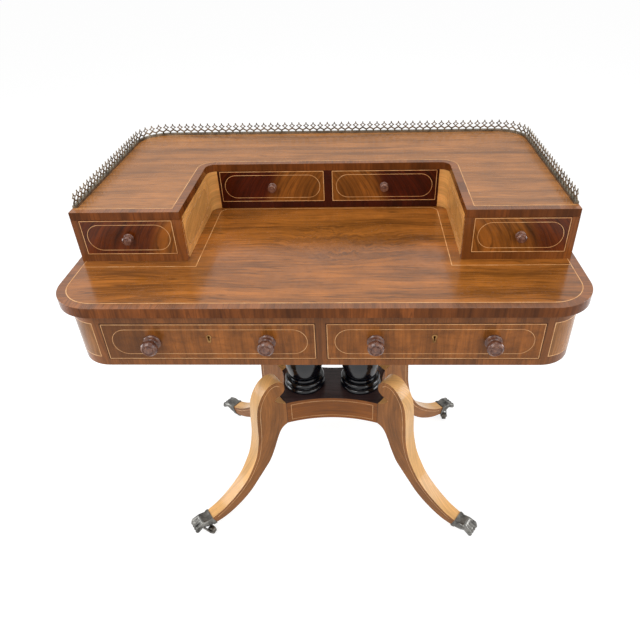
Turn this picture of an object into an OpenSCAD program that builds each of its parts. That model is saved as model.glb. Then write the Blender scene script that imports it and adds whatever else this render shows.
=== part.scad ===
// Carlton house desk: a U-shaped upper stage of small drawers on a writing table.
// The table stands on two turned columns, a shaped platform and four sabre legs with paw casters.
// Millimetres. X points right, Y away from the sitter and Z up, with the floor at Z = 0.

/* [Writing top] */
// Width of the writing top
top_w = 976; // [900:1:1080]
// Depth of the writing top
top_d = 636; // [600:1:720]
// Thickness of the writing top
top_t = 20.5; // [16:0.5:30]
// Corner radius of the writing top
top_r = 84; // [66:1:100]
// Height of the writing surface above the floor
writing_h = 780; // [740:1:840]

/* [Frieze] */
// Height of the frieze below the top
frieze_h = 120.5; // [112:0.5:146]
// Overhang of the top past the frieze, all round
overhang = 17.5; // [10:0.5:24]
// Thickness of the frieze walls
frieze_wall = 20; // [14:1:26]
// Height of the rail under the drawers
frieze_rail_h = 14.7; // [12:0.1:22]
// Width of the stile between the drawers
frieze_stile_w = 19.6; // [16:0.1:30]
// Thickness of the dust board that carries the drawers
dust_board_t = 10; // [6:1:12]
// Height of the guide strips beside the drawers
guide_h = 48; // [20:1:70]
// Width of the guide strips beside the drawers
guide_w = 16; // [8:1:24]

/* [Frieze drawers] */
// Width of the frieze front beyond each outer drawer
frieze_edge_w = 2.5; // [2:0.1:30]
// Height of each frieze drawer opening
drawer_h = 81; // [70:1:84]
// Room between a frieze drawer and the frieze's back
drawer_back_gap = 24; // [10:1:120]
// Thickness of a frieze drawer front
drawer_front_t = 20; // [16:1:24]
// Thickness of the sides and back of a frieze drawer
drawer_side_t = 10; // [6:1:12]
// Thickness of a frieze drawer bottom
drawer_bottom_t = 6; // [4:1:8]
// Distance from the end of a frieze drawer opening in to the nearer knob
knob_inset = 89.5; // [60:0.5:120]

/* [Upper stage] */
// Distance from the side edge of the top in to the upper stage
upper_side_inset = 11.5; // [4:0.5:30]
// Distance from the front edge of the top back to the wings
wing_setback = 167.5; // [140:0.5:190]
// Distance from the back edge of the top in to the upper stage
upper_back_inset = 3; // [0:1:12]
// Radius of the rear corners of the upper stage
upper_r = 71; // [44:1:76]
// Width of each wing
wing_w = 209.5; // [190:0.5:222]
// Depth of the bay between the wings
bay_d = 246; // [220:1:256]
// Radius of the coved corners of the bay
cove_r = 19.5; // [14:0.5:30]
// Height of the rail under the small drawers
upper_rail_h = 15.1; // [12:0.1:24]
// Height of the small drawer openings
upper_open_h = 72.7; // [62:0.1:92]
// Thickness of the top board of the upper stage
upper_top_t = 16.1; // [12:0.1:24]
// Width of the outer stile of a wing, and thickness of the outer end behind it
outer_stile_w = 13.6; // [10:0.1:18]
// Width of the inner stile of a wing, and thickness of the inner side behind it
inner_stile_w = 16.2; // [12:0.1:20]
// Width of the stile between the two back drawers
back_stile_w = 16.4; // [12:0.1:24]
// Width of the stile between a back drawer and the cove
cove_stile_w = 4; // [3:0.1:10]
// Thickness of the front frames of the upper stage
upper_frame_t = 14; // [10:1:18]
// Thickness of the back board of the upper stage
upper_back_t = 12; // [8:1:16]
// Thickness of the floor board of the upper stage
upper_floor_t = 9; // [6:1:12]

/* [Small drawers] */
// Room between a wing drawer and the start of the rounded rear corner
wing_back_gap = 49; // [20:1:120]
// Room between a back drawer and the back board
small_back_gap = 8; // [4:1:40]
// Thickness of a small drawer front
small_front_t = 14; // [10:1:16]
// Thickness of the sides and back of a small drawer
small_side_t = 8; // [5:1:10]
// Thickness of a small drawer bottom
small_bottom_t = 4; // [3:1:6]

/* [Knobs] */
// Diameter of a frieze drawer knob
knob_d = 32; // [26:1:38]
// Length that a frieze drawer knob stands out
knob_len = 28; // [23:1:34]
// Diameter of a small drawer knob
small_knob_d = 19.5; // [15:0.5:24]
// Length that a small drawer knob stands out
small_knob_len = 16.5; // [13:0.5:22]
// Diameter of a frieze knob's spigot
spigot_d = 12; // [8:1:14]
// Diameter of a small knob's spigot
small_spigot_d = 7; // [5:1:9]

/* [Locks] */
// Height of the keyhole above the bottom of the drawer opening
keyhole_h = 51.5; // [44:0.5:56]
// Width of the lock case
lock_w = 56; // [44:1:76]
// Thickness of the lock case
lock_t = 10; // [8:1:12]
// Width of the lock bolt
bolt_w = 24; // [16:1:34]
// Thickness of the lock bolt
bolt_t = 5; // [3:1:6]
// Height of the lock bolt
bolt_h = 22; // [18:1:26]
// Throw of the lock bolt
bolt_throw = 8; // [5:1:10]
// Height of the keyhole plate
plate_h = 18; // [15:1:22]
// Width of the keyhole plate
plate_w = 10; // [8:1:13]

/* [Gallery] */
// Height of the pierced brass gallery
gallery_h = 27; // [25:0.5:32]
// Spacing of the gallery's diamonds
gallery_pitch = 17.4; // [16:0.1:20]
// Height of the gallery's base strip
strip_h = 4.5; // [3:0.5:6]
// Width of the gallery's base strip
strip_w = 9; // [6:0.5:11]
// Thickness of the pierced gallery plate
gallery_t = 1.8; // [1.2:0.1:2.6]
// Distance from the edge of the upper stage in to the middle of the gallery
gallery_inset = 4.8; // [4.8:0.1:8]
// Distance from the front of a wing back to the gallery's end
gallery_start = 21; // [8:0.5:40]

/* [Columns] */
// Distance between the axes of the two columns
column_spacing = 145; // [124:1:170]
// Radius of the lowest ring of a column
column_base_r = 52.5; // [44:0.5:58]
// Largest radius of a column's vase
column_vase_r = 49; // [38:1:54]
// Radius of a column's neck
column_neck_r = 22; // [18:1:28]
// Diameter of the tenons at a column's ends
column_tenon_d = 28; // [20:1:36]
// Length of the tenons at a column's ends
column_tenon_h = 16; // [10:1:18]
// Width of the block under the frieze
block_w = 296; // [280:1:360]
// Depth of the block under the frieze
block_d = 160; // [130:1:220]
// Thickness of the block under the frieze
block_t = 22; // [20:1:32]
// Diameter of the screws through the block
screw_d = 4.5; // [3.5:0.1:6]

/* [Platform] */
// Height of the underside of the platform above the floor
platform_z = 259.5; // [244:0.5:290]
// Thickness of the platform
platform_h = 68; // [52:1:74]
// Width of the platform's front face between the legs
platform_face_w = 231; // [210:1:270]
// Depth of the platform between the ends of its front and back faces
platform_face_d = 160; // [146:1:200]
// Hollow of the platform's front and back faces
face_hollow = 20; // [10:1:28]
// Hollow of the platform's end faces
end_hollow = 10; // [4:1:16]

/* [Legs] */
// Angle of the legs in plan, away from X
leg_angle = 36; // [30:0.1:42]
// Reach of a leg from the platform to its toe, in plan
leg_reach = 293.5; // [280:0.5:320]
// Thickness of a leg at the knee
leg_w = 40; // [35:1:46]
// Thickness of a leg at the ankle
ankle_w = 31; // [26:1:35]
// Depth of a leg at the ankle
ankle_t = 24; // [20:1:26]
// Depth of the dovetail that holds a leg
dovetail_d = 13; // [8:1:18]

/* [Paws and casters] */
// Length of a paw from the collar to the toe tips, in plan
paw_len = 55; // [50:1:62]
// Radius of a toe
toe_r = 5.8; // [5:0.1:7]
// Height of the underside of a paw above the floor
paw_z = 24.5; // [24:0.5:29]
// Diameter of a caster wheel
wheel_d = 22; // [18:0.5:23]
// Width of a caster wheel
wheel_w = 13; // [8:0.5:14]
// Narrow flats round a wheel's tread, on which the desk stands still
tread_flats = 48; // [36:4:60]
// Diameter of a caster axle
axle_d = 4; // [3:0.5:5]
// Diameter of a caster's swivel pin
pin_d = 5; // [4:0.5:6]
// Trail of a caster, from its pin to its axle
trail = 22; // [20.5:0.5:26]
// Thickness of a caster fork's cheeks
cheek_t = 2.2; // [1.6:0.1:3]
// Turn of the front left caster at rest
turn_front_left = -22; // [-180:1:180]
// Turn of the front right caster at rest
turn_front_right = 85; // [-180:1:180]
// Turn of the back left caster at rest
turn_back_left = -29; // [-180:1:180]
// Turn of the back right caster at rest
turn_back_right = -92; // [-180:1:180]

/* [Clearances] */
// Gap round a drawer in its opening
drawer_gap = 0.5; // [0.3:0.1:1.5]
// Height of a drawer above its runner
runner_gap = 0.3; // [0.2:0.1:0.6]
// Radial clearance of a running fit
running_gap = 0.05; // [0.02:0.01:0.1]
// Gap round a fixed piece in its seat
seat_gap = 0.1; // [0.05:0.05:0.3]
// Gap between pieces that move past each other
side_gap = 0.5; // [0.3:0.1:1]

/* [Hidden] */
$fn = 48;

rosewood = "#8a5433";
dark_rosewood = "#6a3a22";
light_wood = "#b98a58";
pine = "#c9a877";
ebony = "#15151a";
aged_brass = "#7b7462";

// A small extra depth that makes a cut pass right through
eps = 1;

// The frieze knobs stand out past the front edge, so the desk's middle lies this far ahead of the top's
y_shift = (knob_len - overhang) / 2;

// Heights of the table
top_z = writing_h - top_t;
frieze_z = top_z - frieze_h;
opening_z = frieze_z + frieze_rail_h;
dust_z = opening_z - dust_board_t;
platform_top = platform_z + platform_h;
block_z = dust_z - block_t;
column_h = block_z - platform_top;

// Outline of the frieze
frieze_w = top_w - 2 * overhang;
frieze_d = top_d - 2 * overhang;
frieze_r = top_r - overhang;
frieze_front_y = -frieze_d / 2;
frieze_inner_y = frieze_d / 2 - frieze_wall;
straight_w = frieze_w - 2 * frieze_r;

// Frieze drawers
drawer_w = straight_w / 2 - frieze_edge_w - frieze_stile_w / 2;
drawer_x = frieze_stile_w / 2 + drawer_w / 2;
drawer_len = frieze_d - frieze_wall - drawer_back_gap;
knob_x = drawer_w / 2 - knob_inset;

// Outline and heights of the upper stage
upper_w = top_w - 2 * upper_side_inset;
wing_y = -top_d / 2 + wing_setback;
upper_back_y = top_d / 2 - upper_back_inset;
bay_y = wing_y + bay_d;
bay_x = upper_w / 2 - wing_w;
upper_open_z = writing_h + upper_rail_h;
upper_top_z = upper_open_z + upper_open_h;
upper_h = upper_rail_h + upper_open_h + upper_top_t;
stage_top = upper_top_z + upper_top_t;
cove_x = bay_x - cove_r;
cove_y = bay_y - cove_r;

// Small drawer openings
wing_open_w = wing_w - outer_stile_w - inner_stile_w;
wing_open_x = bay_x + inner_stile_w + wing_open_w / 2;
back_open_w = cove_x - cove_stile_w - back_stile_w / 2;
back_open_x = back_stile_w / 2 + back_open_w / 2;
wing_drawer_len = upper_back_y - upper_r - wing_y - wing_back_gap;
back_drawer_len = upper_back_y - upper_back_t - bay_y - small_back_gap;

// Plan of a leg: the middle of the canted corner, and the toe
corner_x = platform_face_w / 2 + leg_w / 2 * sin(leg_angle);
corner_y = platform_face_d / 2 - leg_w / 2 * cos(leg_angle);
far_x = corner_x + leg_w / 2 * sin(leg_angle);
far_y = corner_y - leg_w / 2 * cos(leg_angle);

// Ankle of a leg, measured back from the toe, and the slope of its axis there
ankle_x = -paw_len;
ankle_z = paw_z + 13.5;
ankle_slope = -20;
collar_t = 9;
collar_lip = 2.2;
tenon_l = 16;
tenon_side = 5;

// Reach of the tread's corners between its flats
tread_r = wheel_d / 2 / cos(180 / tread_flats);
// Least depth of brass that a flat takes off the round tread
tread_cut = 0.03;

// Swivel pin of a caster, measured back from the toe
pin_x = -30;
pin_h = 15;
crown_r = 7;
crown_h = 6.5;
crown_gap = 0.3;
crown_z = paw_z - crown_gap;

// A smooth curve through a list of points, with n steps between two of them
function blend(a, b, c, d, t) =
    0.5 * (2 * b + (c - a) * t + (2 * a - 5 * b + 4 * c - d) * t * t + (3 * b - a - 3 * c + d) * t * t * t);
function curve(p, n = 5) = concat(
    [for (i = [0 : len(p) - 2], k = [0 : n - 1])
        blend(p[max(i - 1, 0)], p[i], p[i + 1], p[min(i + 2, len(p) - 1)], k / n)],
    [p[len(p) - 1]]);

// Moves the desk so that its bounding box is centred on the Z axis
module placed() {
    translate([0, y_shift, 0]) children();
}

// A rectangle with round corners, centred
module round_rect(w, d, r) {
    square([w - 2 * r, d], center = true);
    square([w, d - 2 * r], center = true);
    for (x = [-1, 1], y = [-1, 1]) {
        translate([x * (w / 2 - r), y * (d / 2 - r)]) circle(r);
    }
}

// A box given by its lowest corner and its size
module block_at(x, y, z, w, d, h) {
    translate([x, y, z]) cube([w, d, h]);
}

// Puts a right-hand piece on the right (1) or its mirror image on the left (-1)
module on_side(s) {
    if (s < 0) {
        mirror([1, 0, 0]) children();
    } else {
        children();
    }
}

module writing_top() {
    color(rosewood) placed()
        translate([0, 0, top_z]) linear_extrude(top_t) round_rect(top_w, top_d, top_r);
}

// Front of the frieze: two rails and three stiles round the drawer openings, mortised for the lock bolts
module frieze_front() {
    color(rosewood) placed() difference() {
        block_at(-straight_w / 2, frieze_front_y, frieze_z, straight_w, frieze_wall, frieze_h);
        for (s = [-1, 1]) {
            block_at(s * drawer_x - drawer_w / 2, frieze_front_y - eps, opening_z,
                drawer_w, frieze_wall + 2 * eps, drawer_h);
            block_at(s * drawer_x - bolt_w / 2 - side_gap, bolt_y - side_gap, opening_z + drawer_h - eps,
                bolt_w + 2 * side_gap, bolt_t + 2 * side_gap, bolt_throw + 2 * side_gap + eps);
        }
    }
}

// End of the frieze, with its two round corners
module frieze_end(s) {
    color(rosewood) placed() on_side(s) translate([0, 0, frieze_z]) linear_extrude(frieze_h)
        difference() {
            round_rect(frieze_w, frieze_d, frieze_r);
            round_rect(frieze_w - 2 * frieze_wall, frieze_d - 2 * frieze_wall, frieze_r - frieze_wall);
            translate([-frieze_w - straight_w / 2, -frieze_d / 2 - eps])
                square([frieze_w + straight_w, frieze_d + 2 * eps]);
        }
}

module frieze_back() {
    color(rosewood) placed()
        block_at(-straight_w / 2, frieze_inner_y, frieze_z, straight_w, frieze_wall, frieze_h);
}

// Dust board that the frieze drawers slide on, with the middle partition and the outer guide strips
module dust_board() {
    guide_x = drawer_x + drawer_w / 2 + drawer_gap;
    color(pine) placed() difference() {
        union() {
            translate([0, 0, dust_z]) linear_extrude(dust_board_t)
                round_rect(frieze_w - 2 * frieze_wall, frieze_d - 2 * frieze_wall, frieze_r - frieze_wall);
            block_at(-frieze_stile_w / 2 + drawer_gap, -frieze_inner_y, opening_z - eps,
                frieze_stile_w - 2 * drawer_gap, 2 * frieze_inner_y, top_z - opening_z + eps);
            for (s = [-1, 1]) {
                block_at(s * (guide_x + guide_w / 2) - guide_w / 2, -frieze_inner_y + frieze_r, opening_z - eps,
                    guide_w, 2 * (frieze_inner_y - frieze_r), guide_h + eps);
            }
        }
        screw_holes();
    }
}

// Plan of the upper stage: a U round the bay
module stage_plan() {
    difference() {
        stage_outline(0);
        bay_plan(0);
    }
}

// Outer outline of the upper stage, drawn in by a distance, with square front corners
module stage_outline(inset) {
    w = upper_w - 2 * inset;
    y0 = wing_y;
    y1 = upper_back_y - inset;
    r = upper_r - inset;
    translate([-w / 2, y0]) square([w, y1 - y0 - r]);
    translate([-w / 2 + r, y0]) square([w - 2 * r, y1 - y0]);
    for (s = [-1, 1]) {
        translate([s * (w / 2 - r), y1 - r]) circle(r);
    }
}

// The bay between the wings, with coved rear corners, grown by a wall thickness
module bay_plan(wall) {
    x = bay_x + wall;
    y = bay_y + wall;
    r = cove_r + wall;
    translate([-x, wing_y - eps]) square([2 * x, y - r - wing_y + eps]);
    translate([-x + r, wing_y - eps]) square([2 * (x - r), y - wing_y + eps]);
    for (s = [-1, 1]) {
        translate([s * (x - r), y - r]) circle(r);
    }
}

module upper_top() {
    color(rosewood) placed() translate([0, 0, upper_top_z]) linear_extrude(upper_top_t) stage_plan();
}

// Guide strips outside the back drawers
small_guide_w = 8;
small_guide_h = 28;

// Floor board of the upper stage, with guide strips for the back drawers and the partition between them
module upper_floor() {
    guide_y = bay_y + inner_stile_w;
    guide_l = upper_back_y - upper_back_t - guide_y;
    color(pine) placed() union() {
        translate([0, 0, upper_open_z - upper_floor_t]) linear_extrude(upper_floor_t) difference() {
            stage_outline(upper_back_t);
            bay_plan(inner_stile_w);
            translate([-upper_w / 2, wing_y - eps]) square([upper_w, upper_frame_t + eps]);
            for (s = [-1, 1]) {
                on_side(s) translate([upper_w / 2 - outer_stile_w, wing_y])
                    square([outer_stile_w, upper_back_y - upper_r - wing_y]);
            }
        }
        for (s = [-1, 1]) {
            block_at(s * (back_open_x + back_open_w / 2 + drawer_gap + small_guide_w / 2) - small_guide_w / 2,
                guide_y, upper_open_z - eps, small_guide_w, guide_l, small_guide_h + eps);
        }
        block_at(-back_stile_w / 2 + drawer_gap, guide_y, upper_open_z - eps,
            back_stile_w - 2 * drawer_gap, guide_l, upper_open_h + eps);
    }
}

// Back board of the upper stage, bent round the rear corners
module upper_back() {
    color(rosewood) placed() translate([0, 0, writing_h]) linear_extrude(upper_h - upper_top_t) difference() {
        stage_outline(0);
        stage_outline(upper_back_t);
        translate([-upper_w, wing_y - eps]) square([2 * upper_w, upper_back_y - upper_r - wing_y + eps]);
    }
}

// Outer end of a wing, behind the outer stile
module upper_end(s) {
    color(rosewood) placed() on_side(s)
        block_at(upper_w / 2 - outer_stile_w, wing_y + upper_frame_t, writing_h,
            outer_stile_w, upper_back_y - upper_r - wing_y - upper_frame_t, upper_h - upper_top_t);
}

// Inner side of a wing, which turns through the cove to the back drawers
module wing_side(s) {
    color(light_wood) placed() on_side(s) translate([0, 0, writing_h]) linear_extrude(upper_h - upper_top_t)
        difference() {
            bay_plan(inner_stile_w);
            bay_plan(0);
            translate([-2 * bay_x + cove_x, wing_y - 2 * eps]) square([2 * bay_x, bay_d + inner_stile_w + 3 * eps]);
            translate([0, wing_y - 2 * eps]) square([2 * bay_x, upper_frame_t + 2 * eps]);
        }
}

// Front frame of a wing: a rail with a stile at each end
module wing_frame(s) {
    color(dark_rosewood) placed() on_side(s) difference() {
        block_at(bay_x, wing_y, writing_h, wing_w, upper_frame_t, upper_h - upper_top_t);
        block_at(wing_open_x - wing_open_w / 2, wing_y - eps, upper_open_z,
            wing_open_w, upper_frame_t + 2 * eps, upper_open_h + eps);
    }
}

// Face frame round the two back drawers
module upper_front() {
    color(dark_rosewood) placed() difference() {
        block_at(-cove_x, bay_y, writing_h, 2 * cove_x, inner_stile_w, upper_h - upper_top_t);
        for (s = [-1, 1]) {
            block_at(s * back_open_x - back_open_w / 2, bay_y - eps, upper_open_z,
                back_open_w, inner_stile_w + 2 * eps, upper_open_h + eps);
        }
    }
}

// Middle line of the gallery: a straight back, two quarter turns and two straight sides
path_x = upper_w / 2 - gallery_inset;
path_y = upper_back_y - gallery_inset;
path_r = upper_r - gallery_inset;
path_back = 2 * (path_x - path_r);
path_side = path_y - path_r - wing_y - gallery_start;
path_turn = path_r * PI / 2;

// Heights and half widths in one unit of the gallery
post_h = 10;
neck_h = 13.9;
neck_w = 2.1;
shoulder = 0.3;
post_w = 0.5;
arch_h = 11.2;
arch_side_h = 7.4;
arch_w = 6.9;
ring_z = gallery_h - 8.2;
ring_w = 6.4;
ring_h = 6.2;
hole_w = 3.7;
hole_h = 3.4;
tip_r = 1.5;
// Slit between two lengths of the pierced band
band_slit = 0.05;

function unit_count(l) = 2 * round(l / gallery_pitch / 2);

// Cuts in one unit of the band, centred on its neck: the arch, and the notch down to the post on its right
module unit_cuts(pitch) {
    polygon([[-arch_w, strip_h - 0.5], [arch_w, strip_h - 0.5], [arch_w, arch_side_h], [0, arch_h],
        [-arch_w, arch_side_h]]);
    polygon([[neck_w, neck_h + eps], [neck_w, neck_h - shoulder], [pitch / 2 - post_w, post_h],
        [pitch / 2 + post_w, post_h], [pitch - neck_w, neck_h - shoulder], [pitch - neck_w, neck_h + eps]]);
}

// A diamond shape about the origin, given by its half width and half height
module rhombus(w, h) {
    polygon([[-w, 0], [0, -h], [w, 0], [0, h]]);
}

// Pierced diamond over a neck, with small balls at its side corners and on top
module diamond() {
    t = gallery_t - 0.3;
    rotate([90, 0, 0]) translate([0, 0, -t / 2]) linear_extrude(t) difference() {
        union() {
            translate([-neck_w + 0.2, (neck_h + arch_h) / 2]) square([2 * neck_w - 0.4, ring_z - neck_h]);
            translate([0, ring_z]) rhombus(ring_w, ring_h);
            translate([0, gallery_h - tip_r]) circle(tip_r);
            for (x = [-1, 1]) {
                translate([x * (ring_w - tip_r / 2), ring_z]) circle(tip_r);
            }
        }
        translate([0, ring_z]) rhombus(hole_w, hole_h);
    }
}

// A straight length of the gallery along +X from the origin
module straight_band(l) {
    count = unit_count(l);
    pitch = l / count;
    rotate([90, 0, 0]) translate([0, 0, -gallery_t / 2]) linear_extrude(gallery_t) difference() {
        translate([band_slit, 1]) square([l - 2 * band_slit, neck_h - 1]);
        for (i = [-1 : count - 1]) {
            translate([(i + 0.5) * pitch, 0]) unit_cuts(pitch);
        }
    }
    for (i = [0 : count - 1]) {
        translate([(i + 0.5) * pitch, 0, 0]) diamond();
    }
}

// A quarter turn of the gallery about the origin, from +X round to +Y
module turned_band() {
    count = unit_count(path_turn);
    pitch = path_turn / count;
    step = 90 / count;
    difference() {
        translate([0, 0, 1]) linear_extrude(neck_h - 1) intersection() {
            difference() {
                circle(path_r + gallery_t / 2);
                circle(path_r - gallery_t / 2);
            }
            translate([band_slit, band_slit]) square(2 * path_r);
        }
        for (i = [-1 : count - 1]) {
            rotate((i + 0.5) * step) translate([path_r - 2 * gallery_t, 0, 0]) rotate([90, 0, 90])
                linear_extrude(4 * gallery_t) unit_cuts(pitch);
        }
    }
    for (i = [0 : count - 1]) {
        rotate((i + 0.5) * step) translate([path_r, 0, 0]) rotate(90) diamond();
    }
}

// Solid strip that carries the gallery round the upper stage
module gallery_strip() {
    linear_extrude(strip_h) difference() {
        stage_outline(gallery_inset - strip_w / 2);
        stage_outline(gallery_inset + strip_w / 2);
        translate([-upper_w, wing_y - eps]) square([2 * upper_w, gallery_start + eps]);
    }
}

module gallery() {
    color(aged_brass) placed() translate([0, 0, stage_top]) union() {
        gallery_strip();
        translate([-path_back / 2, path_y, 0]) straight_band(path_back);
        for (s = [-1, 1]) {
            on_side(s) translate([path_x - path_r, path_y - path_r, 0]) turned_band();
            translate([s * path_x, path_y - path_r - path_side, 0]) rotate(90) straight_band(path_side);
        }
    }
}

// Places of the screws that hold the block to the dust board
screw_head_h = 3;
screw_cover = 4;
screw_l = block_t + dust_board_t - screw_cover;
screw_inset = 22;

module screw_at(gap) {
    r = screw_d / 2 + gap;
    cylinder(h = screw_l + gap, r = r);
    cylinder(h = screw_head_h, r1 = 2 * r, r2 = r);
}

module screw_places() {
    for (x = [-1, 0, 1], y = [-1, 1]) {
        translate([x * (block_w / 2 - screw_inset), y * (block_d / 2 - screw_inset), block_z]) children();
    }
}

module screw_holes() {
    screw_places() screw_at(seat_gap);
}

module block_screws() {
    color("#b9a25a") placed() screw_places() screw_at(0);
}

// Block under the frieze that takes the heads of the columns
module column_block() {
    color(dark_rosewood) placed() difference() {
        translate([0, 0, block_z]) linear_extrude(block_t) round_rect(block_w, block_d, 12);
        screw_holes();
        for (s = [-1, 1]) {
            translate([s * column_spacing / 2, 0, block_z - eps])
                cylinder(h = column_tenon_h + seat_gap + eps, d = column_tenon_d + 2 * seat_gap);
        }
    }
}

// Heights in a column: its two base rings, the capital with its rings, and the vase between them
base_ring_h = 15.5;
base_ring2_h = 13.5;
base_step = 1.5;
groove_h = 3;
shaft_z = base_ring_h + groove_h + base_ring2_h;
cap_l = 71;
collar_ring_h = 10;
collar_ring2_h = 8;
collar_gap = 7;
abacus_h = 13;
abacus_out = 18;
cap_flare = 15;
cap_z = column_h - cap_l;
flare_z = cap_z + collar_ring_h + collar_gap + collar_ring2_h - 2;
flare_h = column_h - abacus_h - flare_z;

// Half profiles of the vase and of the capital's flare, as [radius, height]
vase_profile = curve([for (p = [[0.667, 0], [0.625, 0.031], [0.76, 0.068], [0.9, 0.15], [1, 0.283],
        [0.792, 0.4425], [0.375, 0.639], [0.042, 0.889], [0, 1]])
    [column_neck_r + p[0] * (column_vase_r - column_neck_r), shaft_z + p[1] * (cap_z - shaft_z)]]);
cap_profile = curve([for (p = [[0, 0], [0.125, 0.263], [0.6875, 0.684], [1, 1]])
    [column_neck_r + p[0] * cap_flare, flare_z + p[1] * flare_h]]);

// A ring like a flattened ball round a column
module ring(r, h) {
    rotate_extrude() union() {
        square([r - h / 2, h]);
        translate([r - h / 2, h / 2]) circle(h / 2);
    }
}

module column(s) {
    color(ebony) placed() translate([s * column_spacing / 2, 0, platform_top]) union() {
        ring(column_base_r, base_ring_h);
        translate([0, 0, base_ring_h - 2]) cylinder(h = groove_h + 4, r = column_base_r - 5);
        translate([0, 0, base_ring_h + groove_h]) ring(column_base_r - base_step, base_ring2_h);
        translate([0, 0, -column_tenon_h]) cylinder(h = column_tenon_h + eps, d = column_tenon_d);
        rotate_extrude() polygon(concat([[0, base_ring_h / 3], [column_base_r / 2, base_ring_h / 3]],
            vase_profile, [[0, cap_z]]));
        translate([0, 0, cap_z - eps]) ring(column_neck_r + 6, collar_ring_h);
        translate([0, 0, cap_z + collar_ring_h / 2]) cylinder(h = collar_ring_h + collar_gap, r = column_neck_r);
        translate([0, 0, cap_z + collar_ring_h + collar_gap]) ring(column_neck_r + 4, collar_ring2_h);
        rotate_extrude() polygon(concat([[0, flare_z - eps], [column_neck_r, flare_z - eps]], cap_profile,
            [[0, column_h - abacus_h]]));
        translate([0, 0, column_h - abacus_h]) cylinder(h = abacus_h, r = column_neck_r + abacus_out);
        translate([0, 0, column_h - eps]) cylinder(h = column_tenon_h + eps, d = column_tenon_d);
    }
}

// Plan of the platform: canted corners that take the legs, and four hollow faces
module platform_plan() {
    fx = platform_face_w / 2;
    fy = platform_face_d / 2;
    front_r = (fx * fx + face_hollow * face_hollow) / (2 * face_hollow);
    end_r = (far_y * far_y + end_hollow * end_hollow) / (2 * end_hollow);
    ax = fx - eps * sin(leg_angle);
    ay = fy + eps * cos(leg_angle);
    bx = far_x + eps * sin(leg_angle);
    by = far_y - eps * cos(leg_angle);
    difference() {
        polygon([[ax, -ay], [bx, -by], [bx, by], [ax, ay], [-ax, ay], [-bx, by], [-bx, -by], [-ax, -ay]]);
        for (s = [-1, 1]) {
            translate([0, s * (fy - face_hollow + front_r)]) circle(front_r, $fn = 180);
            translate([s * (far_x - end_hollow + end_r), 0]) circle(end_r, $fn = 180);
        }
    }
}

// Plan of the dovetail on a leg, pointing along -X from the corner, grown by a gap
module dovetail_plan(gap) {
    polygon([[0.2, -leg_w / 6 - gap], [0.2, leg_w / 6 + gap],
        [-dovetail_d - gap, leg_w / 4 + gap], [-dovetail_d - gap, -leg_w / 4 - gap]]);
}

// Puts a leg's own frame, with its toe at the origin and X outwards, on one of the four corners
module at_toe(sx, sy) {
    toe_x = corner_x + leg_reach * cos(leg_angle);
    toe_y = corner_y + leg_reach * sin(leg_angle);
    placed() translate([sx * toe_x, sy * toe_y, 0]) mirror([sx < 0 ? 1 : 0, 0, 0])
        mirror([0, sy > 0 ? 1 : 0, 0]) rotate(-leg_angle) children();
}

module platform() {
    color(rosewood) difference() {
        placed() translate([0, 0, platform_z]) linear_extrude(platform_h) platform_plan();
        for (sx = [-1, 1], sy = [-1, 1]) {
            at_toe(sx, sy) translate([-leg_reach, 0, platform_z - eps])
                linear_extrude(platform_h * 0.8 + eps + seat_gap) dovetail_plan(seat_gap);
        }
        placed() for (s = [-1, 1]) {
            translate([s * column_spacing / 2, 0, platform_top - column_tenon_h - seat_gap])
                cylinder(h = column_tenon_h + seat_gap + eps, d = column_tenon_d + 2 * seat_gap);
        }
    }
}

// Outline of a leg from the side, as [distance from the toe, height]
// The lip and knee are placed from the platform's top corner, the foot from the ankle
knee = [-leg_reach, platform_top];
heel = [-leg_reach, platform_z];
ankle = [ankle_x, ankle_z];
ankle_up = [-sin(ankle_slope), cos(ankle_slope)];
ankle_top = ankle + ankle_up * ankle_t / 2;
ankle_low = ankle - ankle_up * ankle_t / 2;
notch = knee + [31, 26];
lip_curve = curve([knee, knee + [11, 6.5], knee + [22, 15], notch]);
knee_curve = curve([notch, knee + [22, 31], knee + [12, 34.5], knee + [3, 42], knee + [-1, 54],
    knee + [4, 69], knee + [16, 78.5], knee + [30, 80], knee + [44, 75], knee + [58, 62], knee + [70, 43],
    knee + [78, 21], knee + [82, -7], knee + [84, -42], knee + [86, -77], knee + [92, -112],
    ankle + [-138, 147], ankle + [-124, 118], ankle + [-107, 90], ankle + [-84, 65], ankle + [-58, 43],
    ankle + [-27, 23], ankle_top]);
shin_curve = curve([ankle_low, ankle + [-28, -7], ankle + [-54, 3], ankle + [-85, 21], ankle + [-112, 43],
    ankle + [-135, 69], ankle + [-157, 95], heel + [62, -102], heel + [46, -70], heel + [33, -37],
    heel + [24, -18], heel + [14, -6], heel]);

// Plan of a leg: parallel at the knee and tapered down to the ankle
module leg_plan() {
    straight_l = 60;
    far = ankle_x + ankle_t + eps;
    polygon([[-leg_reach, -leg_w / 2], [-leg_reach + straight_l, -leg_w / 2], [far, -ankle_w / 2],
        [far, ankle_w / 2], [-leg_reach + straight_l, leg_w / 2], [-leg_reach, leg_w / 2]]);
}

module leg(sx, sy) {
    color(light_wood) at_toe(sx, sy) union() {
        intersection() {
            translate([0, leg_w / 2, 0]) rotate([90, 0, 0]) linear_extrude(leg_w)
                polygon(concat(lip_curve, knee_curve, shin_curve));
            linear_extrude(2 * platform_top) leg_plan();
        }
        translate([-leg_reach, 0, platform_z]) linear_extrude(platform_h * 0.8) dovetail_plan(0);
        translate([ankle[0], 0, ankle[1]]) rotate([0, -ankle_slope, 0])
            translate([tenon_l / 2 - eps / 2, 0, 0])
            cube([tenon_l + eps, ankle_w - 2 * tenon_side, ankle_t - 2 * tenon_side], center = true);
    }
}

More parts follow.
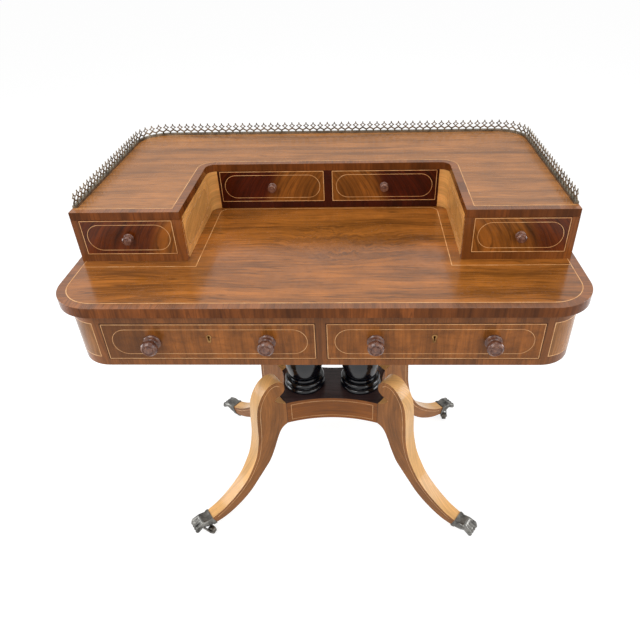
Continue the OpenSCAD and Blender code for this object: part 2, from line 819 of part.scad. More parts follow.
// A round-ended toe from its knuckle to its tip
module toe(y, back_r) {
    hull() {
        translate([-25, y * 0.9, paw_z + 19]) sphere(back_r, $fn = 16);
        translate([-9, y, paw_z + 13.5]) sphere(toe_r + 0.6, $fn = 16);
        translate([-toe_r, y, paw_z + toe_r]) sphere(toe_r, $fn = 16);
    }
}

// Cast brass paw with a collar for the leg's tenon and a socket for the caster's pin
module paw(sx, sy) {
    color(aged_brass) at_toe(sx, sy) difference() {
        union() {
            translate([ankle[0], 0, ankle[1]]) rotate([0, -ankle_slope, 0])
                translate([collar_t / 2, 0, 0])
                cube([collar_t, ankle_w + 2 * collar_lip, ankle_t + 2 * collar_lip], center = true);
            hull() {
                translate([ankle[0] + 6, 0, ankle[1] - 2]) rotate([0, -ankle_slope, 0])
                    cube([2, ankle_w, ankle_t], center = true);
                for (y = [-1, 1]) {
                    translate([-26, y * 11, paw_z + 18]) sphere(9, $fn = 16);
                    translate([-36, y * 10, paw_z + 8]) sphere(8, $fn = 16);
                }
            }
            for (y = [-1.5, -0.5, 0.5, 1.5]) {
                toe(y * 9.6, toe_r + 1);
            }
            translate([pin_x, 0, paw_z]) cylinder(h = 10, r = crown_r + 2);
        }
        translate([ankle[0], 0, ankle[1]]) rotate([0, -ankle_slope, 0])
            translate([(tenon_l + seat_gap) / 2 - eps / 2, 0, 0])
            cube([tenon_l + seat_gap + eps, ankle_w - 2 * tenon_side + 2 * seat_gap,
                ankle_t - 2 * tenon_side + 2 * seat_gap], center = true);
        translate([pin_x, 0, paw_z - eps]) cylinder(h = pin_h + eps, r = pin_d / 2 + running_gap);
        translate([-100, -50, 0]) cube([150, 100, paw_z]);
    }
}

// Puts a caster's own frame, with its pin on the Z axis and its trail along X, under a paw
module at_caster(sx, sy, turn) {
    toe_x = corner_x + leg_reach * cos(leg_angle);
    toe_y = corner_y + leg_reach * sin(leg_angle);
    placed() translate([sx * (toe_x + pin_x * cos(leg_angle)), sy * (toe_y + pin_x * sin(leg_angle)), 0])
        rotate(turn) children();
}

// Side outline of a fork's cheek, from the crown down to the axle
module cheek_plan() {
    polygon([[-crown_r + 1, crown_z - crown_h], [-crown_r + 1, crown_z - 1], [crown_r - 2, crown_z - 1],
        [trail + 2, wheel_d / 2 + axle_d / 2 + 1.6], [trail - 2, wheel_d / 2 - axle_d / 2 - 1.6]]);
    translate([trail, wheel_d / 2]) circle(axle_d / 2 + 2);
}

module fork(sx, sy, turn) {
    cheek_y = wheel_w / 2 + side_gap;
    color(aged_brass) at_caster(sx, sy, turn) union() {
        translate([0, 0, crown_z - crown_h]) cylinder(h = crown_h, r = crown_r);
        translate([0, 0, crown_z - eps]) cylinder(h = pin_h - side_gap + eps, d = pin_d);
        block_at(-crown_r + 1, -cheek_y - cheek_t, crown_z - crown_h, 2 * crown_r - 3, 2 * (cheek_y + cheek_t),
            crown_h - 1);
        for (s = [-1, 1]) {
            translate([0, s * (cheek_y + cheek_t / 2) + cheek_t / 2, 0]) rotate([90, 0, 0])
                linear_extrude(cheek_t) cheek_plan();
        }
        translate([trail, cheek_y + cheek_t + 1, wheel_d / 2]) rotate([90, 0, 0])
            cylinder(h = 2 * (cheek_y + cheek_t + 1), d = axle_d);
    }
}

// Side outline of the narrow flats round a wheel's tread, with one of them underneath
module tread_plan() {
    step = 360 / tread_flats;
    polygon([for (i = [0:tread_flats - 1]) tread_r * [cos((i + 0.5) * step), sin((i + 0.5) * step)]]);
}

// Caster wheel with a rounded tread, bored for its axle
module wheel(sx, sy, turn) {
    rim = wheel_w / 4;
    round_r = tread_r + tread_cut;
    color("#6d6455") at_caster(sx, sy, turn) translate([trail, 0, wheel_d / 2]) rotate([90, 0, 0]) intersection() {
        rotate_extrude() difference() {
            union() {
                translate([0, -wheel_w / 2]) square([round_r - rim, wheel_w]);
                translate([0, -wheel_w / 2 + rim]) square([round_r, wheel_w - 2 * rim]);
                for (s = [-1, 1]) {
                    translate([round_r - rim, s * (wheel_w / 2 - rim)]) circle(rim);
                }
            }
            translate([-wheel_d, -wheel_w]) square([wheel_d + axle_d / 2 + running_gap, 2 * wheel_w]);
        }
        translate([0, 0, -wheel_w]) linear_extrude(2 * wheel_w) tread_plan();
    }
}

// Turned knob on the Y axis, standing out towards -Y from Y = 0, with its spigot behind
module knob(d, l, sd, sl) {
    r = d / 2;
    rotate([90, 0, 0]) rotate_extrude() polygon(concat(
        [[0, -sl], [sd / 2, -sl], [sd / 2, 0], [r, 0], [r, 0.08 * l]],
        curve([[0.9 * r, 0.15 * l], [0.6 * r, 0.22 * l], [0.52 * r, 0.34 * l], [0.62 * r, 0.46 * l],
            [0.9 * r, 0.56 * l], [r, 0.7 * l], [0.93 * r, 0.84 * l], [0.74 * r, 0.95 * l]], 4),
        [[0.66 * r, 0.95 * l], [0.62 * r, 0.91 * l], [0.52 * r, 0.91 * l], [0.46 * r, 0.97 * l], [0, l]]));
}

// A drawer front: a board that fills its opening, with a round hole for each knob
module front_board(w, h, t, xs, knob_z, hole_d) {
    difference() {
        block_at(-w / 2 + drawer_gap, 0, runner_gap, w - 2 * drawer_gap, t, h - drawer_gap - runner_gap);
        for (x = xs) {
            translate([x, t + eps, knob_z]) rotate([90, 0, 0]) cylinder(h = t + 2 * eps, d = hole_d);
        }
    }
}

// A drawer box without its front: two sides, a back and a bottom, open at the top
module box_shell(w, h, len, front_t, side_t, bottom_t) {
    rise = 3;
    drop = 4;
    outer_w = w - 2 * drawer_gap;
    inner_w = outer_w - 2 * side_t;
    difference() {
        block_at(-outer_w / 2, front_t, runner_gap, outer_w, len - front_t, h - runner_gap - drop);
        block_at(-inner_w / 2, front_t - eps, runner_gap + rise + bottom_t,
            inner_w, len - front_t - side_t + eps, h);
        block_at(-inner_w / 2, front_t - eps, runner_gap - eps, inner_w, len - front_t - side_t + eps, rise + eps);
    }
}

// Keyhole: a round hole with a slot below it, through a board of a given thickness
module keyhole(t, gap) {
    rotate([90, 0, 0]) translate([0, 0, -t]) linear_extrude(t) union() {
        circle(2.3 + gap);
        translate([-1.2 - gap, -8 - gap]) square([2.4 + 2 * gap, 8 + gap]);
    }
}

// Outline of the keyhole plate, centred on the keyhole
module plate_plan(gap) {
    upper_r = plate_w / 2 + gap;
    lower_r = plate_w / 2 - 1.5 + gap;
    translate([0, plate_h / 2 - 4 - plate_w / 2]) circle(upper_r);
    translate([-lower_r, -plate_h / 2 - 4 + lower_r]) square([2 * lower_r, plate_h - plate_w]);
    translate([0, -plate_h / 2 - 4 + lower_r - gap]) circle(lower_r);
}

plate_t = 1.2;
plate_proud = 0.4;
lock_h = drawer_h - keyhole_h + 18;
bolt_y = frieze_front_y + drawer_front_t - lock_t / 2 - bolt_t / 2;
lock_top = drawer_h - drawer_gap;

// Places a frieze drawer's own frame, with its front face at Y = 0 and its opening's floor at Z = 0
module at_drawer(s) {
    placed() translate([s * drawer_x, frieze_front_y, opening_z]) children();
}

module drawer_front(s) {
    color(dark_rosewood) at_drawer(s) difference() {
        front_board(drawer_w, drawer_h, drawer_front_t, [-knob_x, knob_x],
            drawer_h / 2, spigot_d + 2 * seat_gap);
        block_at(-lock_w / 2 - seat_gap, drawer_front_t - lock_t - seat_gap, lock_top - lock_h - seat_gap,
            lock_w + 2 * seat_gap, lock_t + seat_gap + eps, lock_h + seat_gap + eps);
        translate([0, 0, keyhole_h]) translate([0, -eps, 0]) keyhole(drawer_front_t, 0);
        translate([0, 0, keyhole_h]) rotate([90, 0, 0]) translate([0, 0, -plate_t + plate_proud])
            linear_extrude(plate_t) plate_plan(seat_gap);
    }
}

module drawer_box(s) {
    color(pine) at_drawer(s)
        box_shell(drawer_w, drawer_h, drawer_len, drawer_front_t, drawer_side_t, drawer_bottom_t);
}

module drawer_knobs(s) {
    color("#6b4331") at_drawer(s) for (x = [-1, 1]) {
        translate([x * knob_x, 0, drawer_h / 2]) knob(knob_d, knob_len, spigot_d, drawer_front_t);
    }
}

// Lock: a case let into the back of the drawer front, and the plate round the keyhole
module lock(s) {
    color(aged_brass) at_drawer(s) {
        difference() {
            block_at(-lock_w / 2, drawer_front_t - lock_t, lock_top - lock_h, lock_w, lock_t, lock_h);
            block_at(-bolt_w / 2 - side_gap / 2, drawer_front_t - lock_t / 2 - bolt_t / 2 - side_gap / 2,
                lock_top - bolt_h - side_gap, bolt_w + side_gap, bolt_t + side_gap, bolt_h + side_gap + eps);
            translate([0, drawer_front_t - lock_t - eps, keyhole_h]) keyhole(lock_t / 2, 0);
        }
        difference() {
            translate([0, 0, keyhole_h]) rotate([90, 0, 0]) translate([0, 0, -plate_t + plate_proud])
                linear_extrude(plate_t) plate_plan(0);
            translate([0, -2 * eps, keyhole_h]) keyhole(drawer_front_t, 0);
        }
    }
}

// Lock bolt, drawn down into its case at rest
module lock_bolt(s) {
    color("#8d8674") at_drawer(s)
        block_at(-bolt_w / 2, drawer_front_t - lock_t / 2 - bolt_t / 2, lock_top - bolt_h - side_gap / 2,
            bolt_w, bolt_t, bolt_h);
}

// Places a wing drawer's own frame, or a back drawer's, as for a frieze drawer
module at_wing_drawer(s) {
    placed() translate([s * wing_open_x, wing_y, upper_open_z]) children();
}

module at_back_drawer(s) {
    placed() translate([s * back_open_x, bay_y, upper_open_z]) children();
}

module small_front(w) {
    front_board(w, upper_open_h, small_front_t, [0], upper_open_h / 2 - 1, small_spigot_d + 2 * seat_gap);
}

module small_knob() {
    translate([0, 0, upper_open_h / 2 - 1]) knob(small_knob_d, small_knob_len, small_spigot_d, small_front_t);
}

module wing_drawer_front(s) {
    color(dark_rosewood) at_wing_drawer(s) small_front(wing_open_w);
}

module wing_drawer_box(s) {
    color(pine) at_wing_drawer(s)
        box_shell(wing_open_w, upper_open_h, wing_drawer_len, small_front_t, small_side_t, small_bottom_t);
}

module wing_drawer_knob(s) {
    color("#6b4331") at_wing_drawer(s) small_knob();
}

module back_drawer_front(s) {
    color(dark_rosewood) at_back_drawer(s) small_front(back_open_w);
}

module back_drawer_box(s) {
    color(pine) at_back_drawer(s)
        box_shell(back_open_w, upper_open_h, back_drawer_len, small_front_t, small_side_t, small_bottom_t);
}

module back_drawer_knob(s) {
    color("#6b4331") at_back_drawer(s) small_knob();
}

writing_top();
frieze_front();
frieze_end(-1);  // frieze_end_left
frieze_end(1);  // frieze_end_right
frieze_back();
dust_board();
upper_floor();
upper_top();
upper_back();
upper_end(-1);  // upper_end_left
upper_end(1);  // upper_end_right
wing_side(-1);  // wing_side_left
wing_side(1);  // wing_side_right
wing_frame(-1);  // wing_frame_left
wing_frame(1);  // wing_frame_right
upper_front();
gallery();
column_block();
block_screws();
column(-1);  // column_left
column(1);  // column_right
platform();
leg(-1, -1);  // leg_front_left
leg(1, -1);  // leg_front_right
leg(-1, 1);  // leg_back_left
leg(1, 1);  // leg_back_right
paw(-1, -1);  // paw_front_left
paw(1, -1);  // paw_front_right
paw(-1, 1);  // paw_back_left
paw(1, 1);  // paw_back_right
fork(-1, -1, turn_front_left);  // fork_front_left
fork(1, -1, turn_front_right);  // fork_front_right
fork(-1, 1, turn_back_left);  // fork_back_left
fork(1, 1, turn_back_right);  // fork_back_right
wheel(-1, -1, turn_front_left);  // wheel_front_left
wheel(1, -1, turn_front_right);  // wheel_front_right
wheel(-1, 1, turn_back_left);  // wheel_back_left
wheel(1, 1, turn_back_right);  // wheel_back_right
drawer_front(-1);  // drawer_front_left
drawer_box(-1);  // drawer_box_left
drawer_knobs(-1);  // drawer_knobs_left
lock(-1);  // lock_left
lock_bolt(-1);  // lock_bolt_left
drawer_front(1);  // drawer_front_right
drawer_box(1);  // drawer_box_right
drawer_knobs(1);  // drawer_knobs_right
lock(1);  // lock_right
lock_bolt(1);  // lock_bolt_right
wing_drawer_front(-1);  // wing_drawer_front_left
wing_drawer_box(-1);  // wing_drawer_box_left
wing_drawer_knob(-1);  // wing_drawer_knob_left
wing_drawer_front(1);  // wing_drawer_front_right
wing_drawer_box(1);  // wing_drawer_box_right
wing_drawer_knob(1);  // wing_drawer_knob_right
back_drawer_front(-1);  // back_drawer_front_left
back_drawer_box(-1);  // back_drawer_box_left
back_drawer_knob(-1);  // back_drawer_knob_left
back_drawer_front(1);  // back_drawer_front_right
back_drawer_box(1);  // back_drawer_box_right
back_drawer_knob(1);  // back_drawer_knob_right
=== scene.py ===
import math

import bmesh
import bpy
from mathutils import Matrix, Vector

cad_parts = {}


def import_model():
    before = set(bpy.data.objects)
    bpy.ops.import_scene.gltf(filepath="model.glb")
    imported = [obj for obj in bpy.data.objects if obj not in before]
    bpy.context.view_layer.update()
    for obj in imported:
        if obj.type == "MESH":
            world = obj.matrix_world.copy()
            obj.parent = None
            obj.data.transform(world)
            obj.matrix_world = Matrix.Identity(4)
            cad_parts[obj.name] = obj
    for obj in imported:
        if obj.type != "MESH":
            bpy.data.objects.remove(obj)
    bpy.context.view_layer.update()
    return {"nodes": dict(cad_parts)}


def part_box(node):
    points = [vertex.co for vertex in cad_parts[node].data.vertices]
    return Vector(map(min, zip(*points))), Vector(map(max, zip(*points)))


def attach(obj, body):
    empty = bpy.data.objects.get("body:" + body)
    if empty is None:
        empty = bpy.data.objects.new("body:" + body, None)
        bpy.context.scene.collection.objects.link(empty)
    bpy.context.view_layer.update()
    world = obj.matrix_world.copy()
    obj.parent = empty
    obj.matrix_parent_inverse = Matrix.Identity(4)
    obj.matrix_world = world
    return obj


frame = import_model()
nodes = frame["nodes"]
SIDES = {"left": -1, "right": 1}
CORNERS = {"front_left": (-1, -1), "front_right": (1, -1), "back_left": (-1, 1), "back_right": (1, 1)}


# Sizes of the desk that its pieces share, in metres

TOP_LO, TOP_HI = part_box("writing_top")
STAGE_LO, STAGE_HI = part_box("upper_top")
FRONT_LO, FRONT_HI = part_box("frieze_front")
BAY_LO, BAY_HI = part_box("upper_front")
PLATFORM_LO, PLATFORM_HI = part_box("platform")
WING_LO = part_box("wing_frame_right")[0]
MID_Y = (TOP_LO.y + TOP_HI.y) / 2
TOP_HALF_W = TOP_HI.x
TOP_HALF_D = (TOP_HI.y - TOP_LO.y) / 2
TOP_Z = TOP_HI.z
TOP_R = 0.084
STAGE_Z = STAGE_HI.z
FRIEZE_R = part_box("frieze_end_right")[1].x - FRONT_HI.x
WING_Y = WING_LO.y
BAY_X = WING_LO.x
BAY_Y = BAY_LO.y
COVE_X = BAY_HI.x
COVE_R = BAY_X - COVE_X
COVE_Y = BAY_Y - COVE_R
WING_SIDE_MIDDLE = ((WING_Y + COVE_Y) / 2, (TOP_Z + STAGE_LO.z) / 2)
WING_SIDE_HALF = ((COVE_Y - WING_Y) / 2, (STAGE_LO.z - TOP_Z) / 2)


# The platform and the legs, whose upper edge is given from the knee and from the ankle, along and up

FACE_HALF_W = 0.1155
FACE_HALF_D = 0.080
FACE_HOLLOW = 0.020
# Width of the dark line near each end of the platform's faces: the joint with the legs, darkened with painted
# shade
FACE_SEAM_SHADE = (0.0020, 0.0008)
LEG_ANGLE = 36.0
LEG_W = 0.040
ANKLE_W = 0.031
LEG_REACH = 0.2935
LEG_STRAIGHT = 0.060
LEG_END = 0.030
LEG_GROWTH = (0.030, 0.330)
LEG_GROWTH_R = 0.28
ANKLE = Vector((-0.055, 0.038))
KNEE_EDGE = [(0.004, 0.069), (0.016, 0.0785), (0.030, 0.080), (0.044, 0.075), (0.058, 0.062), (0.070, 0.043),
             (0.078, 0.021), (0.082, -0.007), (0.084, -0.042), (0.086, -0.077), (0.092, -0.112)]
ANKLE_EDGE = [(-0.138, 0.147), (-0.124, 0.118), (-0.107, 0.090), (-0.084, 0.065), (-0.058, 0.043),
              (-0.027, 0.023), (-0.004, 0.012)]


# The veneer: widths of its bands and seams, and places of its figures

BAND_W = 0.0172
BAY_BAND = 0.0165
SEAM = 0.0002
MITRE = 0.004
BURL = (0.035, -0.085)
BURL_R = 0.17
CRACK_Y = -0.042
CRACK_X = (-0.300, -0.312)
CRACK_W = 0.0016
STRIPE_END = {"wing_left": 0.318, "wing_right": 0.395, "back_left": 0.120, "back_right": 0.115}
STRIPE_SOFT = 0.02
DARK_END_X = (-0.26, -0.36)
# Painted shade round the frieze drawers' openings: how far its box is lifted, its corner radius and its width
GAP_SHADE_LIFT = 0.0007
GAP_SHADE_CORNER_R = 0.0003
GAP_SHADE_LINE = (0.0022, 0.0012)
TOP_GLOSS = 0.6
STAGE_GLOSS = 0.5
WOOD_GLOSS = 0.22
RIM_GLOSS = 0.12


# The inlaid lines: their widths and their distances from the edges beside them

STRING_W = 0.0016
EDGE_STRING_W = 0.0013
OVAL_STRING_W = 0.0010
STRING_PROUD = 0.00012
STRING_DEPTH = 0.0006
STRING_CORNER_R = 0.001
DRAWER_STRING_GAP = 0.0006
DRAWER_CORNER_R = 0.0008
DRAWER_OVALS = {"": (0.0150, 0.0125), "wing_": (0.0095, 0.0095), "back_": (0.0100, 0.0095)}
OVAL_FLAT = 0.0005
FOOT_GAP = 0.0225
FOOT_SIDE_GAP = 0.0205
FOOT_BACK_GAP = 0.0055
FOOT_TURN_R = 0.018
STAGE_STRING_END = 0.0075
WING_SIDE_GAP = 0.008
OVAL_END = 0.019
OVAL_SIDE = 0.018
PANEL_LOW = 0.6592
PANEL_HIGH = 0.7348
PANEL_TURN = 0.0128
PANEL_X = FRONT_HI.x + FRIEZE_R * math.sin(PANEL_TURN / FRIEZE_R)
PANEL_POINTS = 150
LEG_STRING_KNEE = 0.0105
LEG_STRING_ANKLE = 0.0075
PLATFORM_STRING_GAP = 0.009
PLATFORM_STRING_END = 0.012
PLATFORM_STRING_POINTS = 20


# Softened edges and the joining of faces, in metres and degrees

SHARP_ANGLE = 38
WELD_GAP = 0.000002


# The photograph's own view, in metres and degrees, and the studio round the desk

VIEW_PLACE = (0.0696, -1.1251 + MID_Y, 1.3311)
VIEW_YAW = -2.359
VIEW_PITCH = 35.469
VIEW_ROLL = -1.477
VIEW_LENS = 32.10
VIEW_SHIFT = -0.0314
WORLD_LIGHT = 0.55
FLOOR_HALF = 14.0
FLOOR_SHADE = 0.42
FLOOR_GLOW = 0.75
CARD_Y = 2.5
CARD_HALF_W = 2.6
CARD_LOW = 1.2
CARD_MIDDLE = 1.6
CARD_HIGH = 2.05
CARD_GLOW = (0.45, 0.75)
DAYLIGHT = (0.93, 0.96, 1.0)


def srgb(red, green, blue):
    """A colour written as 0 to 255 screen values, as linear light with alpha."""
    def linear(value):
        value = value / 255
        return value / 12.92 if value <= 0.04045 else ((value + 0.055) / 1.055) ** 2.4
    return (linear(red), linear(green), linear(blue), 1.0)


class Shader:
    """One material's node tree. A value is a socket of another node, or a plain number."""

    def __init__(self, name):
        self.material = bpy.data.materials.new(name)
        self.material.use_nodes = True
        self.tree = self.material.node_tree
        self.bsdf = self.tree.nodes["Principled BSDF"]
        coordinates = self.tree.nodes.new("ShaderNodeTexCoord")
        self.place = coordinates.outputs["Object"]
        self.normal = coordinates.outputs["Normal"]

    def put(self, socket, value):
        if isinstance(value, bpy.types.NodeSocket):
            self.tree.links.new(value, socket)
        elif value is not None:
            socket.default_value = value

    def math(self, kind, first, second=None):
        node = self.tree.nodes.new("ShaderNodeMath")
        node.operation = kind
        for socket, value in zip(node.inputs, (first, second)):
            self.put(socket, value)
        return node.outputs[0]

    def add(self, first, second):
        return self.math("ADD", first, second)

    def subtract(self, first, second):
        return self.math("SUBTRACT", first, second)

    def times(self, first, second):
        return self.math("MULTIPLY", first, second)

    def split(self, vector):
        node = self.tree.nodes.new("ShaderNodeSeparateXYZ")
        self.put(node.inputs[0], vector)
        return node.outputs[0], node.outputs[1], node.outputs[2]

    def join(self, x, y, z):
        node = self.tree.nodes.new("ShaderNodeCombineXYZ")
        for socket, value in zip(node.inputs, (x, y, z)):
            self.put(socket, value)
        return node.outputs[0]

    def length(self, x, y):
        """Length of a line with these two reaches."""
        return self.math("SQRT", self.add(self.times(x, x), self.times(y, y)))

    def size_of(self, value):
        """A value without its sign."""
        return self.math("ABSOLUTE", value)

    def turned(self, vector, centre, angle):
        """The vector turned about a vertical axis through a centre."""
        node = self.tree.nodes.new("ShaderNodeVectorRotate")
        node.rotation_type = "Z_AXIS"
        self.put(node.inputs["Vector"], vector)
        node.inputs["Center"].default_value = centre
        node.inputs["Angle"].default_value = angle
        return node.outputs[0]

    def noise(self, vector, scale, detail=2.0, rough=0.5, twist=0.0):
        node = self.tree.nodes.new("ShaderNodeTexNoise")
        self.put(node.inputs["Vector"], vector)
        node.inputs["Scale"].default_value = scale
        node.inputs["Detail"].default_value = detail
        node.inputs["Roughness"].default_value = rough
        node.inputs["Distortion"].default_value = twist
        return node.outputs[0]

    def cells(self, value):
        """A random number from 0 to 1 for each whole-number cell of a value."""
        node = self.tree.nodes.new("ShaderNodeTexWhiteNoise")
        node.noise_dimensions = "1D"
        self.put(node.inputs["W"], self.math("FLOOR", value))
        return node.outputs["Value"]

    def over(self, value, limit):
        """1 where a value is over a limit, with a change as narrow as a seam."""
        return self.step(value, limit - SEAM, limit + SEAM)

    def under(self, value, limit):
        """1 where a value is under a limit, with a change as narrow as a seam."""
        return self.step(value, limit + SEAM, limit - SEAM)

    def step(self, value, low, high, to_low=0.0, to_high=1.0):
        """A smooth step of a value from low to high."""
        node = self.tree.nodes.new("ShaderNodeMapRange")
        node.interpolation_type = "SMOOTHSTEP"
        for name, number in (("Value", value), ("From Min", low), ("From Max", high),
                             ("To Min", to_low), ("To Max", to_high)):
            self.put(node.inputs[name], number)
        return node.outputs[0]

    def on_rim(self):
        """1 on upright faces, 0 on faces that look up."""
        return self.step(self.split(self.normal)[2], 0.3, 0.5, 1.0, 0.0)

    def ramp(self, value, stops):
        node = self.tree.nodes.new("ShaderNodeValToRGB")
        elements = node.color_ramp.elements
        while len(elements) < len(stops):
            elements.new(0.5)
        for element, (position, colour) in zip(elements, stops):
            element.position = position
            element.color = colour
        self.put(node.inputs[0], value)
        return node.outputs[0]

    def mix(self, share, first, second):
        """The first colour where share is 0, the second where it is 1."""
        node = self.tree.nodes.new("ShaderNodeMix")
        node.data_type = "RGBA"
        self.put(node.inputs[0], share)
        self.put(node.inputs[6], first)
        self.put(node.inputs[7], second)
        return node.outputs[2]

    def choose(self, share, first, second):
        """The first number where share is 0, the second where it is 1."""
        node = self.tree.nodes.new("ShaderNodeMix")
        node.data_type = "FLOAT"
        self.put(node.inputs[0], share)
        self.put(node.inputs[2], first)
        self.put(node.inputs[3], second)
        return node.outputs[0]

    def bump(self, height, distance):
        node = self.tree.nodes.new("ShaderNodeBump")
        node.inputs["Strength"].default_value = 1.0
        node.inputs["Distance"].default_value = distance
        self.put(node.inputs["Height"], height)
        self.put(self.bsdf.inputs["Normal"], node.outputs[0])

    def set(self, **values):
        for name, value in values.items():
            self.put(self.bsdf.inputs[name.replace("_", " ")], value)


# Wood

def grain(shader, along, across, seed, wave=0.010, streak=1.0):
    """Grain of sliced veneer: broad tone, streaks, thin dark veins and pores, each from 0 to 1.
    The two coordinates are in metres, and wave is how far the lines of growth swing."""
    def layer(first, second, scale_along, scale_across, detail, rough=0.5):
        place = shader.join(shader.times(first, scale_along), shader.times(second, scale_across), 0.0)
        return shader.noise(place, 1.0, detail, rough)

    along = shader.add(along, seed)
    across = shader.add(across, seed * 0.37)
    swing = layer(along, across, 2.6, 6.0, 2.0, 0.45)
    ripple = layer(along, across, 17.0, 34.0, 1.0)
    bent = shader.add(across, shader.times(shader.subtract(swing, 0.5), 4 * wave))
    bent = shader.add(bent, shader.times(shader.subtract(ripple, 0.5), 0.5 * wave))
    broad = layer(along, bent, 3.0, 30.0 * streak, 2.0)
    streaks = layer(along, bent, 11.0, 170.0 * streak, 5.0, 0.65)
    vein = layer(along, bent, 4.0, 80.0 * streak, 1.5)
    vein = shader.step(shader.size_of(shader.subtract(vein, 0.5)), 0.0, 0.05, 1.0, 0.0)
    pores = shader.step(layer(along, bent, 95.0, 1500.0, 1.0), 0.60, 0.70)
    return broad, streaks, vein, pores


def timber(shader, pattern, light, middle, dark, ink, vein_share=0.5):
    """Colour of a grain pattern from its light, middle and dark tones and the ink of its veins."""
    broad, streaks, vein, pores = pattern
    tone = shader.add(shader.times(broad, 0.5), shader.times(streaks, 0.5))
    colour = shader.ramp(tone, [(0.37, dark), (0.48, middle), (0.60, light)])
    broken = shader.step(shader.times(vein, streaks), 0.22, 0.62, 0.0, vein_share)
    colour = shader.mix(broken, colour, ink)
    cloud = shader.noise(shader.place, 24.0, 3.0, 0.6)
    colour = shader.mix(shader.step(cloud, 0.35, 0.7, 0.0, 0.3), colour, dark)
    return shader.mix(shader.times(pores, 0.3), colour, ink)


def polish(shader, colour, pattern, rough=0.22, depth=0.00005, gloss=WOOD_GLOSS):
    """French-polished wood: the grain a little open, the gloss a little uneven."""
    _, streaks, _, pores = pattern
    shader.set(Base_Color=colour, Specular_IOR_Level=gloss)
    uneven = shader.noise(shader.place, 9.0, 3.0, 0.6)
    shader.set(Roughness=shader.add(shader.step(uneven, 0.3, 0.75, rough - 0.04, rough + 0.08),
                                    shader.times(pores, 0.10)))
    shader.bump(shader.add(shader.times(pores, -0.8), shader.times(streaks, 0.35)), depth)
    return shader.material


def tones(red, green, blue, spread):
    """Light, middle, dark and vein colours of a veneer, from its middle colour in linear light."""
    def shade(share):
        return (share * red, share * green, share * blue, 1.0)
    return dict(light=shade(1 + spread), middle=shade(1.0), dark=shade(1 - spread), ink=shade(0.3))


ROSEWOOD = tones(0.285, 0.095, 0.014, 0.5)
STAGE_WOOD = tones(0.335, 0.128, 0.030, 0.42)
FRONT_WOOD = tones(0.28, 0.092, 0.018, 0.45)
BAND_WOOD = tones(0.24, 0.080, 0.019, 0.4)
RIM_WOOD = tones(0.19, 0.055, 0.012, 0.6)
STAGE_RIM_WOOD = tones(0.16, 0.045, 0.009, 0.5)
FRAME_WOOD = tones(0.21, 0.062, 0.011, 0.4)
BACK_FRAME_WOOD = tones(0.048, 0.006, 0.001, 0.4)
MAROON_WOOD = tones(0.06, 0.007, 0.001, 0.6)
RED_WOOD = tones(0.105, 0.021, 0.003, 0.65)
STRIPED_WOOD = tones(0.22, 0.070, 0.010, 0.6)
GOLD_WOOD = tones(0.72, 0.36, 0.105, 0.25)
PANEL_WOOD = tones(0.32, 0.13, 0.036, 0.4)
# Top of the legs: paler wood, with a painted highlight in its colour
LEG_TOP_WOOD_AND_HIGHLIGHT = tones(0.75, 0.42, 0.16, 0.2)
LEG_SIDE_WOOD = tones(0.29, 0.108, 0.024, 0.35)
FACE_WOOD = tones(0.27, 0.085, 0.012, 0.35)
# Platform top: darker wood, painted nearly black with the shade that falls under the desk
PLATFORM_TOP_SHADED_WOOD = tones(0.047, 0.028, 0.028, 0.4)
PINE = dict(light=srgb(214, 180, 128), middle=srgb(196, 157, 103), dark=srgb(164, 121, 74),
            ink=srgb(120, 82, 48))


def outside_box(shader, x, y, centre, half, radius):
    """Distance outside a rounded rectangle in plan or on a face, negative inside it, and how far a point
    lies past the middles of its corners both ways."""
    from_x = shader.subtract(shader.size_of(shader.subtract(x, centre[0])), half[0] - radius)
    from_y = shader.subtract(shader.size_of(shader.subtract(y, centre[1])), half[1] - radius)
    reach_x = shader.math("MAXIMUM", from_x, 0.0)
    reach_y = shader.math("MAXIMUM", from_y, 0.0)
    reach = shader.length(reach_x, reach_y)
    inner = shader.math("MINIMUM", shader.math("MAXIMUM", from_x, from_y), 0.0)
    return shader.subtract(shader.add(reach, inner), radius), from_x, from_y


def crossband(shader, along_edge, across_edge, seed, wood=BAND_WOOD):
    """Short grain across an edge, laid in pieces of slightly different tone."""
    pattern = grain(shader, across_edge, along_edge, seed, wave=0.004, streak=0.8)
    colour = timber(shader, pattern, **wood)
    warp = shader.noise(shader.join(along_edge, seed, 0.0), 9.0, 2.0)
    piece = shader.cells(shader.add(shader.times(along_edge, 7.0), shader.times(warp, 1.5)))
    drift = shader.noise(shader.join(along_edge, seed, 1.0), 14.0, 3.0, 0.6)
    shade = shader.step(shader.add(shader.times(piece, 0.4), shader.times(drift, 0.6)), 0.3, 0.62, 0.0, 0.45)
    return shader.mix(shade, colour, shader.mix(0.5, wood["ink"], wood["dark"])), pattern


def blend_patterns(shader, share, first, second):
    return tuple(shader.choose(share, a, b) for a, b in zip(first, second))


